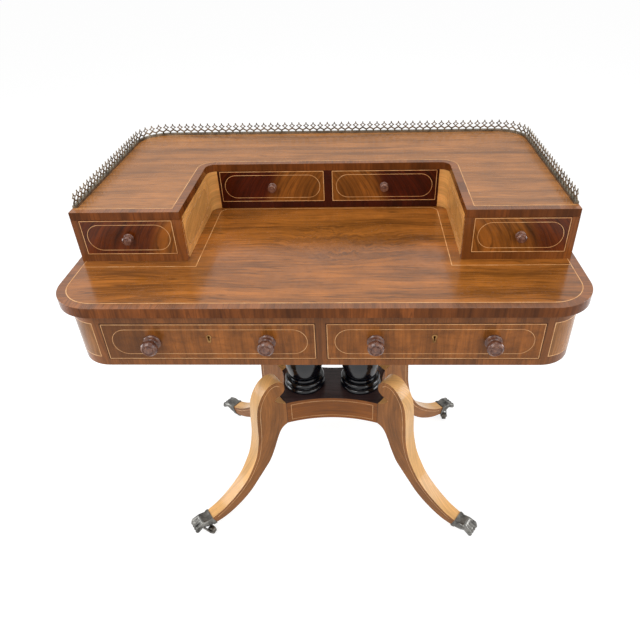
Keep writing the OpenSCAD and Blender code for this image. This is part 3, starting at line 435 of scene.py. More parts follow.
def top_material():
    """Writing top: figured field with a burl near its middle, crossbanded border and edge."""
    shader = Shader("writing_top_veneer")
    x, y, z = shader.split(shader.place)
    near = shader.length(shader.subtract(x, BURL[0]), shader.times(shader.subtract(y, BURL[1]), 1.5))
    burl = shader.step(near, 0.0, BURL_R, 1.0, 0.0)
    knot = shader.subtract(shader.noise(shader.place, 22.0, 3.0, 0.6, 1.2), 0.5)
    pushed = shader.add(y, shader.times(burl, shader.times(knot, 0.09)))
    ringed = shader.add(pushed, shader.times(shader.times(burl, near), 0.35))
    pattern = grain(shader, x, ringed, 3.1, wave=0.013)
    field = timber(shader, pattern, **ROSEWOOD, vein_share=0.75)
    border, from_x, from_y = outside_box(shader, x, y, (0, MID_Y), (TOP_HALF_W, TOP_HALF_D), TOP_R)
    at_side = shader.step(shader.subtract(from_x, from_y), -MITRE, MITRE)
    along_edge = shader.choose(at_side, x, y)
    band, band_pattern = crossband(shader, along_edge, shader.choose(at_side, y, x), 5.7)
    rim, rim_pattern = crossband(shader, along_edge, z, 9.3, RIM_WOOD)
    in_band = shader.over(border, -BAND_W)
    at_rim = shader.on_rim()
    colour = shader.mix(in_band, field, band)
    colour = shader.mix(at_rim, colour, rim)
    pattern = blend_patterns(shader, in_band, pattern, band_pattern)
    pattern = blend_patterns(shader, at_rim, pattern, rim_pattern)
    return polish(shader, colour, pattern, rough=0.17, gloss=shader.choose(at_rim, TOP_GLOSS, RIM_GLOSS))


def stage_top_material():
    """Top of the upper stage: long grain in the field, a narrow crossband round the bay, an old crack."""
    shader = Shader("stage_top_veneer")
    x, y, z = shader.split(shader.place)
    pattern = grain(shader, x, y, 7.9, wave=0.007)
    field = timber(shader, pattern, **STAGE_WOOD, vein_share=0.55)
    crack_line = shader.noise(shader.join(shader.times(x, 9.0), 0.0, 4.0), 1.0, 3.0, 0.6)
    crack = shader.subtract(shader.add(y, shader.times(crack_line, 0.016)), CRACK_Y)
    crack = shader.step(shader.size_of(crack), 0.0, CRACK_W, 0.8, 0.0)
    crack = shader.times(crack, shader.step(x, *CRACK_X))
    colour = shader.mix(crack, field, ROSEWOOD["ink"])
    bay, from_x, from_y = outside_box(shader, x, y, (0, BAY_Y - 1.0), (BAY_X, 1.0), COVE_R)
    at_back = shader.step(shader.subtract(from_y, from_x), -MITRE, MITRE)
    along_edge = shader.choose(at_back, y, x)
    at_rim = shader.on_rim()
    layers = [
        (shader.under(bay, BAY_BAND), crossband(shader, along_edge, shader.choose(at_back, x, y), 2.2)),
        (shader.under(y, WING_Y + BAND_W), crossband(shader, x, y, 4.6)),
        (at_rim, crossband(shader, shader.add(x, y), z, 8.8, STAGE_RIM_WOOD)),
    ]
    for share, (layer, layer_pattern) in layers:
        colour = shader.mix(share, colour, layer)
        pattern = blend_patterns(shader, share, pattern, layer_pattern)
    return polish(shader, colour, pattern, rough=0.2, gloss=shader.choose(at_rim, STAGE_GLOSS, RIM_GLOSS))


def board_material(name, wood, grain_along, seed):
    """A plain veneered board with its grain along X or Y."""
    shader = Shader(name)
    x, y, z = shader.split(shader.place)
    along, beside = (x, y) if grain_along == "X" else (y, x)
    pattern = grain(shader, along, shader.add(z, beside), seed)
    return polish(shader, timber(shader, pattern, **wood), pattern)


def flame_material(name, centre, seed, side, stripe_end, wood):
    """A small drawer front: veneer whose lines bow outwards from a low point, as cut from a crotch.
    It is striped from the desk's middle to a slanting line at stripe_end, and dark red beyond it."""
    shader = Shader(name)
    x, _, z = shader.split(shader.place)
    off_x = shader.times(shader.subtract(x, centre.x), side)
    off_z = shader.subtract(z, centre.z)
    bow = shader.times(shader.times(off_z, off_z), 5.0)
    across = shader.add(shader.add(off_x, bow), shader.times(off_z, 0.55))
    pattern = grain(shader, off_z, across, seed, wave=0.012, streak=0.75)
    from_middle = shader.size_of(shader.add(x, shader.times(off_z, side * 0.4)))
    beyond = shader.step(from_middle, stripe_end - STRIPE_SOFT, stripe_end + STRIPE_SOFT)
    striped = timber(shader, pattern, **STRIPED_WOOD, vein_share=0.7)
    colour = shader.mix(beyond, striped, timber(shader, pattern, **wood, vein_share=0.6))
    return polish(shader, colour, pattern, 0.2)


def drawer_front_material(name, seed):
    """A frieze drawer front: upright grain in broad straight stripes, dark towards the desk's left end."""
    shader = Shader(name)
    x, _, z = shader.split(shader.place)
    pattern = grain(shader, z, x, seed, wave=0.005, streak=0.8)
    colour = timber(shader, pattern, **FRONT_WOOD, vein_share=0.35)
    mottle = shader.noise(shader.join(shader.times(x, 30.0), 0.0, shader.times(z, 55.0)), 1.0, 3.0, 0.6)
    colour = shader.mix(shader.step(mottle, 0.40, 0.72, 0.0, 0.45), colour, FRONT_WOOD["ink"])
    colour = shader.mix(shader.step(x, *DARK_END_X, 0.0, 0.6), colour, FRONT_WOOD["ink"])
    return polish(shader, colour, pattern, 0.24)


def face_of(node):
    """Middle and half sizes of a drawer front, across and upwards."""
    low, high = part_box(node)
    middle = ((low.x + high.x) / 2, (low.z + high.z) / 2)
    return middle, ((high.x - low.x) / 2, (high.z - low.z) / 2)


def frieze_material(name, seed):
    """Frieze: crossbanded rails and stiles, paler upright grain inside the corner panels, and a thin line of
    painted shade round each drawer opening, standing in for the shadow in the gap above and beside each
    drawer."""
    shader = Shader(name)
    x, y, z = shader.split(shader.place)
    from_middle = shader.size_of(x)
    band, band_pattern = crossband(shader, shader.add(x, shader.times(y, 0.8)), z, seed)
    pattern = grain(shader, z, shader.add(x, shader.times(y, 0.9)), seed + 2.0, wave=0.006, streak=0.9)
    panel = timber(shader, pattern, **PANEL_WOOD)
    inside = shader.times(shader.over(z, PANEL_LOW), shader.under(z, PANEL_HIGH))
    inside = shader.times(inside, shader.over(from_middle, PANEL_X))
    colour = shader.mix(inside, band, panel)
    middle, half = face_of("drawer_front_right")
    # Painted shade: a thin dark line just outside each drawer opening, where the gap casts its shadow
    gap_middle = (middle[0], middle[1] + GAP_SHADE_LIFT)
    opening = outside_box(shader, from_middle, z, gap_middle, half, GAP_SHADE_CORNER_R)[0]
    colour = shader.mix(shader.step(opening, *GAP_SHADE_LINE, 0.0, 0.85), colour, BAND_WOOD["ink"])
    return polish(shader, colour, blend_patterns(shader, inside, band_pattern, pattern))


def small_frame_material(name, seed, wood):
    """Frame round the small drawers: short upright grain, laid in pieces."""
    shader = Shader(name)
    x, _, z = shader.split(shader.place)
    colour, pattern = crossband(shader, x, z, seed, wood)
    return polish(shader, colour, pattern)


def inner_side_material(name, seed):
    """Inner side of a wing and its cove: golden veneer, browner in a long oval and dark along its line."""
    shader = Shader(name)
    _, y, z = shader.split(shader.place)
    along = shader.add(y, shader.times(z, 0.25))
    pattern = grain(shader, along, shader.add(z, shader.times(y, -0.3)), seed, wave=0.008)
    colour = timber(shader, pattern, **GOLD_WOOD, vein_share=0.3)
    half = (WING_SIDE_HALF[0] - OVAL_END, WING_SIDE_HALF[1] - OVAL_SIDE)
    oval = outside_box(shader, y, z, WING_SIDE_MIDDLE, half, half[1] - OVAL_FLAT)[0]
    outline = shader.step(shader.size_of(oval), 0.0008, 0.0022, 0.55, 0.0)
    colour = shader.mix(shader.step(oval, 0.0004, -0.0004, 0.0, 0.25), colour, GOLD_WOOD["ink"])
    return polish(shader, shader.mix(outline, colour, GOLD_WOOD["ink"]), pattern)


def leg_material(name, corner, seed):
    """A sabre leg: grain that follows the curve, browner on the sides and golden on the top, where paler wood
    carries a painted highlight.
    """
    shader = Shader(name)
    sign_x, sign_y = CORNERS[corner]
    low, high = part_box(f"leg_{corner}")
    end = (high.x if sign_x > 0 else low.x, high.y if sign_y > 0 else low.y, 0.0)
    tilt = math.radians(LEG_ANGLE)
    angle = math.atan2(sign_y * math.sin(tilt), sign_x * math.cos(tilt))
    x, y, z = shader.split(shader.turned(shader.place, end, -angle))
    back = shader.subtract(x, end[0] + LEG_GROWTH[0])
    down = shader.subtract(LEG_GROWTH[1], z)
    ring = shader.length(back, down)
    turn = shader.times(shader.math("ARCTAN2", down, shader.times(back, -1.0)), LEG_GROWTH_R)
    across = shader.subtract(y, end[1])
    pattern = grain(shader, turn, shader.add(ring, shader.times(across, 1.3)), seed, wave=0.005)
    # The leg's top: paler wood brightened further with a painted highlight
    gold_and_highlight = timber(shader, pattern, **LEG_TOP_WOOD_AND_HIGHLIGHT, vein_share=0.2)
    brown = timber(shader, pattern, **LEG_SIDE_WOOD, vein_share=0.35)
    facing = shader.split(shader.turned(shader.normal, (0, 0, 0), -angle))[1]
    on_side = shader.step(shader.size_of(facing), 0.5, 0.7)
    return polish(shader, shader.mix(on_side, gold_and_highlight, brown), pattern, 0.2)


def platform_material():
    """Platform: brown faces with a dark seam near each end, darkened with painted shade, under a polished top
    of darker wood painted nearly black with the shade under the desk.
    """
    shader = Shader("platform_veneer")
    x, y, z = shader.split(shader.place)
    pattern = grain(shader, x, z, 6.4, wave=0.006)
    face = timber(shader, pattern, **FACE_WOOD, vein_share=0.4)
    # The joint where a leg meets the face, darkened with painted shade
    seam = shader.step(shader.size_of(x), FACE_HALF_W - FACE_SEAM_SHADE[0], FACE_HALF_W - FACE_SEAM_SHADE[1], 0.0, 0.85)
    face = shader.mix(seam, face, FACE_WOOD["ink"])
    top_pattern = grain(shader, x, y, 1.4)
    # Painted shade: the top's colour is darkened to nearly black, as it looks under the desk
    top = timber(shader, top_pattern, **PLATFORM_TOP_SHADED_WOOD)
    on_top = shader.step(shader.split(shader.normal)[2], 0.4, 0.6)
    pattern = blend_patterns(shader, on_top, pattern, top_pattern)
    return polish(shader, shader.mix(on_top, face, top), pattern, 0.2)


def pine_material(name, seed):
    """Plain softwood of the drawer linings and the dust board, with the grain along each board."""
    shader = Shader(name)
    x, y, z = shader.split(shader.place)
    on_side = shader.step(shader.size_of(shader.split(shader.normal)[0]), 0.4, 0.6)
    along = shader.choose(on_side, x, y)
    across = shader.choose(on_side, shader.add(y, z), z)
    pattern = grain(shader, along, across, seed, wave=0.006, streak=0.7)
    colour = timber(shader, pattern, **PINE, vein_share=0.25)
    stain = shader.noise(shader.place, 7.0, 3.0, 0.6)
    colour = shader.mix(shader.step(stain, 0.45, 0.8, 0.0, 0.35), colour, srgb(138, 96, 58))
    return polish(shader, colour, pattern, 0.55, 0.00010)


# Inlay, turnings and metal

def string_material():
    """Boxwood stringing, honey coloured under the polish."""
    shader = Shader("boxwood_string")
    tint = shader.noise(shader.place, 40.0, 3.0, 0.6)
    honey = [(0.3, srgb(190, 132, 78)), (0.5, srgb(214, 158, 100)), (0.7, srgb(230, 180, 124))]
    shader.set(Base_Color=shader.ramp(tint, honey), Roughness=shader.step(tint, 0.3, 0.7, 0.2, 0.32))
    return shader.material


def turned_lines(shader, scale_x, scale_y, scale_z, rough=0.6):
    """Fine lines of a turned piece, drawn out along the axis with the smallest scale."""
    x, y, z = shader.split(shader.place)
    place = shader.join(shader.times(x, scale_x), shader.times(y, scale_y), shader.times(z, scale_z))
    return shader.noise(place, 1.0, 3.0, rough)


def ebony_material():
    """Ebonised turning: black with a trace of blue and a high polish."""
    shader = Shader("ebonised_wood")
    lines = turned_lines(shader, 160.0, 160.0, 8.0)
    colour = shader.ramp(lines, [(0.35, srgb(4, 7, 13)), (0.6, srgb(8, 10, 17)), (0.8, srgb(20, 17, 18))])
    rough = shader.step(shader.noise(shader.place, 14.0, 3.0, 0.6), 0.35, 0.7, 0.10, 0.18)
    shader.set(Base_Color=colour, Roughness=rough)
    shader.bump(lines, 0.00004)
    return shader.material


def knob_material():
    """Turned rosewood knobs: purplish brown with fine lines, darker in patches."""
    shader = Shader("turned_rosewood")
    lines = turned_lines(shader, 150.0, 40.0, 150.0, 0.5)
    browns = [(0.34, srgb(82, 48, 37)), (0.5, srgb(106, 67, 51)), (0.66, srgb(132, 90, 69))]
    colour = shader.ramp(lines, browns)
    grime = shader.step(shader.noise(shader.place, 60.0, 2.0, 0.5), 0.5, 0.8, 0.0, 0.3)
    colour = shader.mix(grime, colour, srgb(46, 26, 20))
    shader.set(Base_Color=colour, Roughness=shader.step(lines, 0.3, 0.7, 0.2, 0.26))
    shader.bump(lines, 0.00002)
    return shader.material


def metal_material(name, light, dark, rough, scale, share=0.65):
    """Old cast or rolled metal: darker in patches, with a soft uneven shine."""
    shader = Shader(name)
    patina = shader.noise(shader.place, scale, 4.0, 0.62)
    colour = shader.ramp(patina, [(0.32, dark), (0.62, light)])
    specks = shader.noise(shader.place, scale * 9, 3.0, 0.6)
    colour = shader.mix(shader.step(specks, 0.52, 0.75, 0.0, share), colour, dark)
    uneven = shader.step(patina, 0.3, 0.7, rough + 0.14, rough - 0.05)
    shader.set(Base_Color=colour, Metallic=1.0, Roughness=uneven)
    shader.bump(shader.add(specks, patina), 0.00012)
    return shader.material


MATERIALS = {
    "string": string_material(),
    "ebony": ebony_material(),
    "knob": knob_material(),
    "aged_brass": metal_material("aged_brass", srgb(150, 138, 118), srgb(84, 74, 60), 0.34, 60.0),
    "grey_brass": metal_material("worn_grey_brass", srgb(128, 126, 121), srgb(46, 45, 44), 0.36, 45.0, 0.5),
    "wheel_brass": metal_material("dark_caster_brass", srgb(116, 110, 102), srgb(44, 42, 40), 0.34, 50.0),
    "bright_brass": metal_material("lock_brass", srgb(158, 118, 72), srgb(98, 68, 38), 0.38, 50.0, 0.4),
    "steel": metal_material("screw_steel", srgb(150, 146, 138), srgb(80, 76, 70), 0.35, 70.0),
}


# Stringing

def arc(centre, radius, start, end, steps=12):
    """Points along an arc in plan or in a face, with its angles in degrees."""
    angles = [math.radians(start + (end - start) * i / steps) for i in range(steps + 1)]
    return [(centre[0] + radius * math.cos(a), centre[1] + radius * math.sin(a)) for a in angles]


def round_box(centre, half_w, half_h, radius, steps=12):
    """Closed outline of a rectangle with round corners."""
    corners = ((1, 1, 0), (-1, 1, 90), (-1, -1, 180), (1, -1, 270))
    points = []
    for side_x, side_y, start in corners:
        middle = (centre[0] + side_x * (half_w - radius), centre[1] + side_y * (half_h - radius))
        points += arc(middle, radius, start, start + 90, steps)
    return points


def ribbon(name, points, normals, body, closed=True, width=STRING_W):
    """A thin inlaid line: a flat strip let into the surface that its normals point out of."""
    count = len(points)
    mesh = bmesh.new()
    rings = []
    for i, (point, normal) in enumerate(zip(points, normals)):
        before = points[i - 1] if closed or i else point
        after = points[(i + 1) % count] if closed or i + 1 < count else point
        first = (point - before).normalized() if (point - before).length > 1e-9 else Vector()
        second = (after - point).normalized() if (after - point).length > 1e-9 else Vector()
        side = normal.cross(first + second).normalized()
        spread = max((first + second).length / 2, 0.5) if first.length and second.length else 1.0
        reach = side * (width / 2 / spread)
        top = point + normal * STRING_PROUD
        low = point - normal * STRING_DEPTH
        rings.append([mesh.verts.new(v) for v in (top - reach, top + reach, low + reach, low - reach)])
    for i in range(count if closed else count - 1):
        here, there = rings[i], rings[(i + 1) % count]
        for k in range(4):
            mesh.faces.new((here[k], here[(k + 1) % 4], there[(k + 1) % 4], there[k]))
    if not closed:
        mesh.faces.new(rings[0])
        mesh.faces.new(rings[-1][::-1])
    bmesh.ops.recalc_face_normals(mesh, faces=mesh.faces)
    data = bpy.data.meshes.new(name)
    mesh.to_mesh(data)
    mesh.free()
    piece = bpy.data.objects.new(name, data)
    bpy.context.scene.collection.objects.link(piece)
    data.materials.append(MATERIALS["string"])
    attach(piece, body)


def flat_string(name, outline, lift, axis, body, closed=True, width=STRING_W):
    """Stringing on a flat face. axis says how the outline's two numbers lie: "top", "front" or "side"."""
    places = {
        "top": (lambda p: Vector((p[0], p[1], lift)), Vector((0, 0, 1))),
        "front": (lambda p: Vector((p[0], lift, p[1])), Vector((0, -1, 0))),
        "side": (lambda p: Vector((lift, p[0], p[1])), Vector((-math.copysign(1, lift), 0, 0))),
    }
    place, normal = places[axis]
    points = [place(p) for p in outline]
    ribbon(name, points, [normal] * len(points), body, closed, width)


def top_strings():
    """Lines on the writing top: inside its crossband, and along the foot of the upper stage."""
    half_w = TOP_HALF_W - BAND_W
    half_d = TOP_HALF_D - BAND_W
    radius = TOP_R - BAND_W
    corner_x = half_w - radius
    corner_y = MID_Y - half_d + radius
    edge = [(-half_w, WING_Y)] + arc((-corner_x, corner_y), radius, 180, 270, 16)
    edge += arc((corner_x, corner_y), radius, 270, 360, 16) + [(half_w, WING_Y)]
    flat_string("string_top_edge", edge, TOP_Z, "top", "desk", closed=False)
    foot_y = WING_Y - FOOT_GAP
    inner_x = BAY_X - FOOT_SIDE_GAP
    back_y = BAY_Y - FOOT_BACK_GAP
    turn = FOOT_TURN_R
    foot = [(-half_w + STRING_W, foot_y), (-inner_x, foot_y)]
    foot += arc((-inner_x + turn, back_y - turn), turn, 180, 90, 8)
    foot += arc((inner_x - turn, back_y - turn), turn, 90, 0, 8)
    foot += [(inner_x, foot_y), (half_w - STRING_W, foot_y)]
    flat_string("string_stage_foot", foot, TOP_Z, "top", "desk", closed=False)


def stage_strings():
    """Line round the bay and along the wings' fronts, on the top of the upper stage."""
    front_y = WING_Y + BAND_W
    outer_x = STAGE_HI.x - STAGE_STRING_END
    inner_x = BAY_X + BAY_BAND
    radius = COVE_R + BAY_BAND
    line = [(-outer_x, front_y), (-inner_x, front_y)]
    line += arc((-COVE_X, COVE_Y), radius, 180, 90) + arc((COVE_X, COVE_Y), radius, 90, 0)
    line += [(inner_x, front_y), (outer_x, front_y)]
    flat_string("string_stage_top", line, STAGE_Z, "top", "desk", closed=False)


def drawer_strings(kind, side, body):
    """Lines on a drawer front: one at its edge, and a long oval inside."""
    front = f"{kind}drawer_front_{side}"
    centre, (half_w, half_h) = face_of(front)
    front_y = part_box(front)[0].y
    inset_x, inset_z = DRAWER_OVALS[kind]
    edge = EDGE_STRING_W / 2 + DRAWER_STRING_GAP
    outline = round_box(centre, half_w - edge, half_h - edge, DRAWER_CORNER_R, 2)
    flat_string(f"string_{kind}drawer_edge_{side}", outline, front_y, "front", body, width=EDGE_STRING_W)
    oval_h = half_h - inset_z
    oval = round_box(centre, half_w - inset_x, oval_h, oval_h - OVAL_FLAT, 14)
    flat_string(f"string_{kind}drawer_oval_{side}", oval, front_y, "front", body, width=OVAL_STRING_W)


def frieze_end_point(along, z, side):
    """Point and outward normal on a frieze end, at a distance along it from the front's straight stretch."""
    quarter = FRIEZE_R * math.pi / 2
    front_y = FRONT_LO.y + FRIEZE_R
    back_y = 2 * MID_Y - front_y
    if along < quarter:
        turn = along / FRIEZE_R
        normal = Vector((math.sin(turn), -math.cos(turn), 0))
        middle = Vector((FRONT_HI.x, front_y, z))
    elif along < quarter + back_y - front_y:
        normal = Vector((1, 0, 0))
        middle = Vector((FRONT_HI.x, front_y + along - quarter, z))
    else:
        turn = (along - quarter - back_y + front_y) / FRIEZE_R
        normal = Vector((math.cos(turn), math.sin(turn), 0))
        middle = Vector((FRONT_HI.x, back_y, z))
    point = middle + normal * FRIEZE_R
    flip = Matrix.Diagonal((side, 1, 1))
    return flip @ point, flip @ normal


def frieze_end_string(side):
    """Panel line that turns round both corners of a frieze end."""
    length = FRIEZE_R * math.pi + 2 * (MID_Y - FRONT_LO.y - FRIEZE_R)
    step = (length - 2 * PANEL_TURN) / PANEL_POINTS
    stations = [PANEL_TURN + step * i for i in range(PANEL_POINTS + 1)]
    loop = [(s, PANEL_LOW) for s in stations] + [(s, PANEL_HIGH) for s in reversed(stations)]
    pairs = [frieze_end_point(s, z, SIDES[side]) for s, z in loop]
    ribbon(f"string_frieze_panel_{side}", [p for p, n in pairs], [n for p, n in pairs], "desk")


def wing_side_strings(side):
    """Rectangle and long oval on the inner side of a wing."""
    half_w, half_h = WING_SIDE_HALF
    at_x = SIDES[side] * BAY_X
    oval_h = half_h - OVAL_SIDE
    edge = round_box(WING_SIDE_MIDDLE, half_w - WING_SIDE_GAP, half_h - WING_SIDE_GAP, STRING_CORNER_R, 2)
    oval = round_box(WING_SIDE_MIDDLE, half_w - OVAL_END, oval_h, oval_h - OVAL_FLAT, 14)
    flat_string(f"string_wing_side_edge_{side}", edge, at_x, "side", "desk")
    flat_string(f"string_wing_side_oval_{side}", oval, at_x, "side", "desk")


def spline(points, count=5):
    """A smooth curve through points in a plane."""
    curve = []
    for i in range(len(points) - 1):
        a, b, c, d = (Vector(points[min(max(i + k, 0), len(points) - 1)]) for k in (-1, 0, 1, 2))
        for k in range(count):
            t = k / count
            curve.append((2 * b + (c - a) * t + (2 * a - 5 * b + 4 * c - d) * t ** 2
                          + (3 * b - a - 3 * c + d) * t ** 3) / 2)
    return curve + [Vector(points[-1])]


def leg_strings(corner):
    """A line inside the upper edge of a leg on both its sides, from the knee to the ankle."""
    sign_x, sign_y = CORNERS[corner]
    angle = math.radians(LEG_ANGLE)
    toe_x = FACE_HALF_W + LEG_W / 2 * math.sin(angle) + LEG_REACH * math.cos(angle)
    toe_y = FACE_HALF_D - LEG_W / 2 * math.cos(angle) + LEG_REACH * math.sin(angle)
    knee = Vector((-LEG_REACH, PLATFORM_HI.z))
    edge = spline([knee + Vector(p) for p in KNEE_EDGE] + [ANKLE + Vector(p) for p in ANKLE_EDGE])
    line = []
    for i in range(1, len(edge) - 1):
        way = (edge[i + 1] - edge[i - 1]).normalized()
        inset = LEG_STRING_KNEE + (LEG_STRING_ANKLE - LEG_STRING_KNEE) * i / len(edge)
        line.append(edge[i] + inset * Vector((way.y, -way.x)))
    for side, face in ((1, "a"), (-1, "b")):
        turned = Vector((sign_x * side * math.sin(angle), -sign_y * side * math.cos(angle), 0))
        points = []
        for x, z in line:
            past = max(x + LEG_REACH - LEG_STRAIGHT, 0)
            y = side * (LEG_W - (LEG_W - ANKLE_W) * past / (LEG_REACH - LEG_STRAIGHT - LEG_END)) / 2
            across = x * math.cos(angle) + y * math.sin(angle)
            ahead = y * math.cos(angle) - x * math.sin(angle)
            points.append(Vector((sign_x * (toe_x + across), sign_y * (toe_y - ahead) + MID_Y, z)))
        normals = [turned] * len(points)
        ribbon(f"string_leg_{corner}_{face}", points, normals, "desk", closed=False, width=EDGE_STRING_W)


def platform_strings():
    """Panel lines on the platform's hollow front and back faces."""
    radius = (FACE_HALF_W ** 2 + FACE_HOLLOW ** 2) / (2 * FACE_HOLLOW)
    reach = math.asin((FACE_HALF_W - PLATFORM_STRING_END) / radius)
    angles = [-reach + 2 * reach * i / PLATFORM_STRING_POINTS for i in range(PLATFORM_STRING_POINTS + 1)]
    loop = [(a, PLATFORM_LO.z + PLATFORM_STRING_GAP) for a in angles]
    loop += [(a, PLATFORM_HI.z - PLATFORM_STRING_GAP) for a in reversed(angles)]
    for name, sign in (("front", -1), ("back", 1)):
        centre_y = MID_Y + sign * (FACE_HALF_D - FACE_HOLLOW + radius)
        points = [Vector((radius * math.sin(a), centre_y - sign * radius * math.cos(a), z)) for a, z in loop]
        normals = [Vector((-math.sin(a), sign * math.cos(a), 0)) for a, z in loop]
        ribbon(f"string_platform_{name}", points, normals, "desk", width=EDGE_STRING_W)


# Materials and softened edges of the desk's pieces

def smooth_by_angle():
    """A small node group that keeps edges over the sharp angle sharp in the finished shape."""
    group = bpy.data.node_groups.new("smooth_by_angle", "GeometryNodeTree")
    group.interface.new_socket("Geometry", in_out="INPUT", socket_type="NodeSocketGeometry")
    group.interface.new_socket("Geometry", in_out="OUTPUT", socket_type="NodeSocketGeometry")
    entry = group.nodes.new("NodeGroupInput")
    leave = group.nodes.new("NodeGroupOutput")
    edge = group.nodes.new("GeometryNodeInputMeshEdgeAngle")
    less = group.nodes.new("FunctionNodeCompare")
    less.data_type = "FLOAT"
    less.operation = "LESS_EQUAL"
    less.inputs[1].default_value = math.radians(SHARP_ANGLE)
    edges = group.nodes.new("GeometryNodeSetShadeSmooth")
    edges.domain = "EDGE"
    group.links.new(edge.outputs["Unsigned Angle"], less.inputs[0])
    group.links.new(entry.outputs["Geometry"], edges.inputs["Geometry"])
    group.links.new(less.outputs[0], edges.inputs["Shade Smooth"])
    group.links.new(edges.outputs["Geometry"], leave.inputs["Geometry"])
    return group


SMOOTH_BY_ANGLE = smooth_by_angle()


def soften(piece, width, segments):
    """Rounds a piece's sharp edges a little, so that they catch the light, and smooths its curves."""
    data = piece.data
    custom = data.attributes.get("custom_normal")
    if custom:
        data.attributes.remove(custom)
    data.polygons.foreach_set("use_smooth", [True] * len(data.polygons))
    weld = piece.modifiers.new("weld", "WELD")
    weld.merge_threshold = WELD_GAP
    if width:
        bevel = piece.modifiers.new("edges", "BEVEL")
        bevel.width = width
        bevel.segments = segments
        bevel.limit_method = "ANGLE"
        bevel.angle_limit = math.radians(SHARP_ANGLE)
        bevel.harden_normals = False
        bevel.miter_outer = "MITER_SHARP"
    smooth = piece.modifiers.new("smooth", "NODES")
    smooth.node_group = SMOOTH_BY_ANGLE
    if width:
        weighted = piece.modifiers.new("flat_faces", "WEIGHTED_NORMAL")
        weighted.keep_sharp = True
        weighted.weight = 80


def dress(name, material, width=0, segments=2):
    """Gives a piece of the desk its material, and softens its edges by a width."""
    data = nodes[name].data
    data.materials.clear()
    data.materials.append(material)
    soften(nodes[name], width, segments)


def dress_boards():
    """Tops, frieze, stage and pedestal."""
    dress("writing_top", top_material(), 0.0016, 3)
    dress("upper_top", stage_top_material(), 0.0009)
    dress("frieze_front", frieze_material("frieze_front_veneer", 3.3), 0.0005)
    dress("frieze_back", frieze_material("frieze_back_veneer", 12.7), 0.0005)
    for i, side in enumerate(SIDES):
        stage_end = board_material(f"stage_end_veneer_{side}", FRONT_WOOD, "Y", 4.1 + i)
        wing_frame = small_frame_material(f"wing_frame_veneer_{side}", 2.7 + i, FRAME_WOOD)
        dress(f"frieze_end_{side}", frieze_material(f"frieze_end_veneer_{side}", 6.1 + i), 0.0005)
        dress(f"upper_end_{side}", stage_end, 0.0004)
        dress(f"wing_frame_{side}", wing_frame, 0.0005)
        dress(f"wing_side_{side}", inner_side_material(f"wing_side_veneer_{side}", 8.3 + i), 0.0005)
        dress(f"column_{side}", MATERIALS["ebony"])
    dress("upper_front", small_frame_material("back_frame_veneer", 9.9, BACK_FRAME_WOOD), 0.0005)
    dress("upper_back", board_material("stage_back_veneer", FRONT_WOOD, "X", 14.0), 0.0004)
    dress("upper_floor", pine_material("stage_floor_pine", 3.0), 0.0005)
    dress("dust_board", pine_material("dust_board_pine", 8.0), 0.0005)
    dress("gallery", MATERIALS["aged_brass"])
    dress("column_block", board_material("block_wood", BAND_WOOD, "X", 11.0), 0.0015)
    dress("block_screws", MATERIALS["steel"])
    dress("platform", platform_material(), 0.0010)


def dress_drawers():
    """Frieze drawers with their knobs and locks, and the small drawers of the stage."""
    for i, side in enumerate(SIDES):
        front = drawer_front_material(f"drawer_front_veneer_{side}", 1.9 + i * 3.1)
        dress(f"drawer_front_{side}", front, 0.0006)
        dress(f"drawer_knobs_{side}", MATERIALS["knob"])
        dress(f"lock_{side}", MATERIALS["bright_brass"], 0.0003)
        dress(f"lock_bolt_{side}", MATERIALS["steel"], 0.0003)
        dress(f"drawer_box_{side}", pine_material(f"drawer_lining_{side}", 2.0 + i), 0.0005)
        for kind, wood in (("wing", RED_WOOD), ("back", MAROON_WOOD)):
            low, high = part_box(f"{kind}_drawer_front_{side}")
            front = flame_material(f"{kind}_drawer_veneer_{side}", (low + high) / 2, 5.5 + 4 * low.y,
                                   SIDES[side], STRIPE_END[f"{kind}_{side}"], wood)
            lining = pine_material(f"{kind}_drawer_lining_{side}", 6.0 + i)
            dress(f"{kind}_drawer_front_{side}", front, 0.0006)
            dress(f"{kind}_drawer_box_{side}", lining, 0.0004)
            dress(f"{kind}_drawer_knob_{side}", MATERIALS["knob"])


def dress_legs():
    """Legs, paws and casters."""
    for i, corner in enumerate(CORNERS):
        dress(f"leg_{corner}", leg_material(f"leg_veneer_{corner}", corner, 2.1 + i * 1.7), 0.0012)
        dress(f"paw_{corner}", MATERIALS["grey_brass"])
        dress(f"fork_{corner}", MATERIALS["wheel_brass"], 0.0004)
        dress(f"wheel_{corner}", MATERIALS["wheel_brass"])


# Studio

def camera():
    """The photograph's own view, which was solved from the desk's edges."""
    yaw, pitch, roll = (math.radians(angle) for angle in (VIEW_YAW, VIEW_PITCH, VIEW_ROLL))
    forward = Vector((math.sin(yaw) * math.cos(pitch), math.cos(yaw) * math.cos(pitch), -math.sin(pitch)))
    right = Vector((math.cos(yaw), -math.sin(yaw), 0))
    up = right.cross(forward)
    axis_x = math.cos(roll) * right + math.sin(roll) * up
    axis_y = math.cos(roll) * up - math.sin(roll) * right
    turn = Matrix((axis_x, axis_y, -forward)).transposed()
    data = bpy.data.cameras.new("camera")
    data.lens = VIEW_LENS
    data.sensor_width = 36
    data.shift_x = VIEW_SHIFT
    piece = bpy.data.objects.new("camera", data)
    piece.matrix_world = Matrix.Translation(VIEW_PLACE) @ turn.to_4x4()
    bpy.context.scene.collection.objects.link(piece)
    bpy.context.scene.camera = piece


def panel(name, location, target, width, height, power, colour=(1, 1, 1)):
    """A soft rectangular lamp that faces a target."""
    data = bpy.data.lights.new(name, "AREA")
    data.shape = "RECTANGLE"
    data.size, data.size_y = width, height
    data.energy = power
    data.color = colour
    lamp = bpy.data.objects.new(name, data)
    lamp.location = location
    lamp.rotation_euler = (Vector(target) - Vector(location)).to_track_quat("-Z", "Y").to_euler()
    bpy.context.scene.collection.objects.link(lamp)


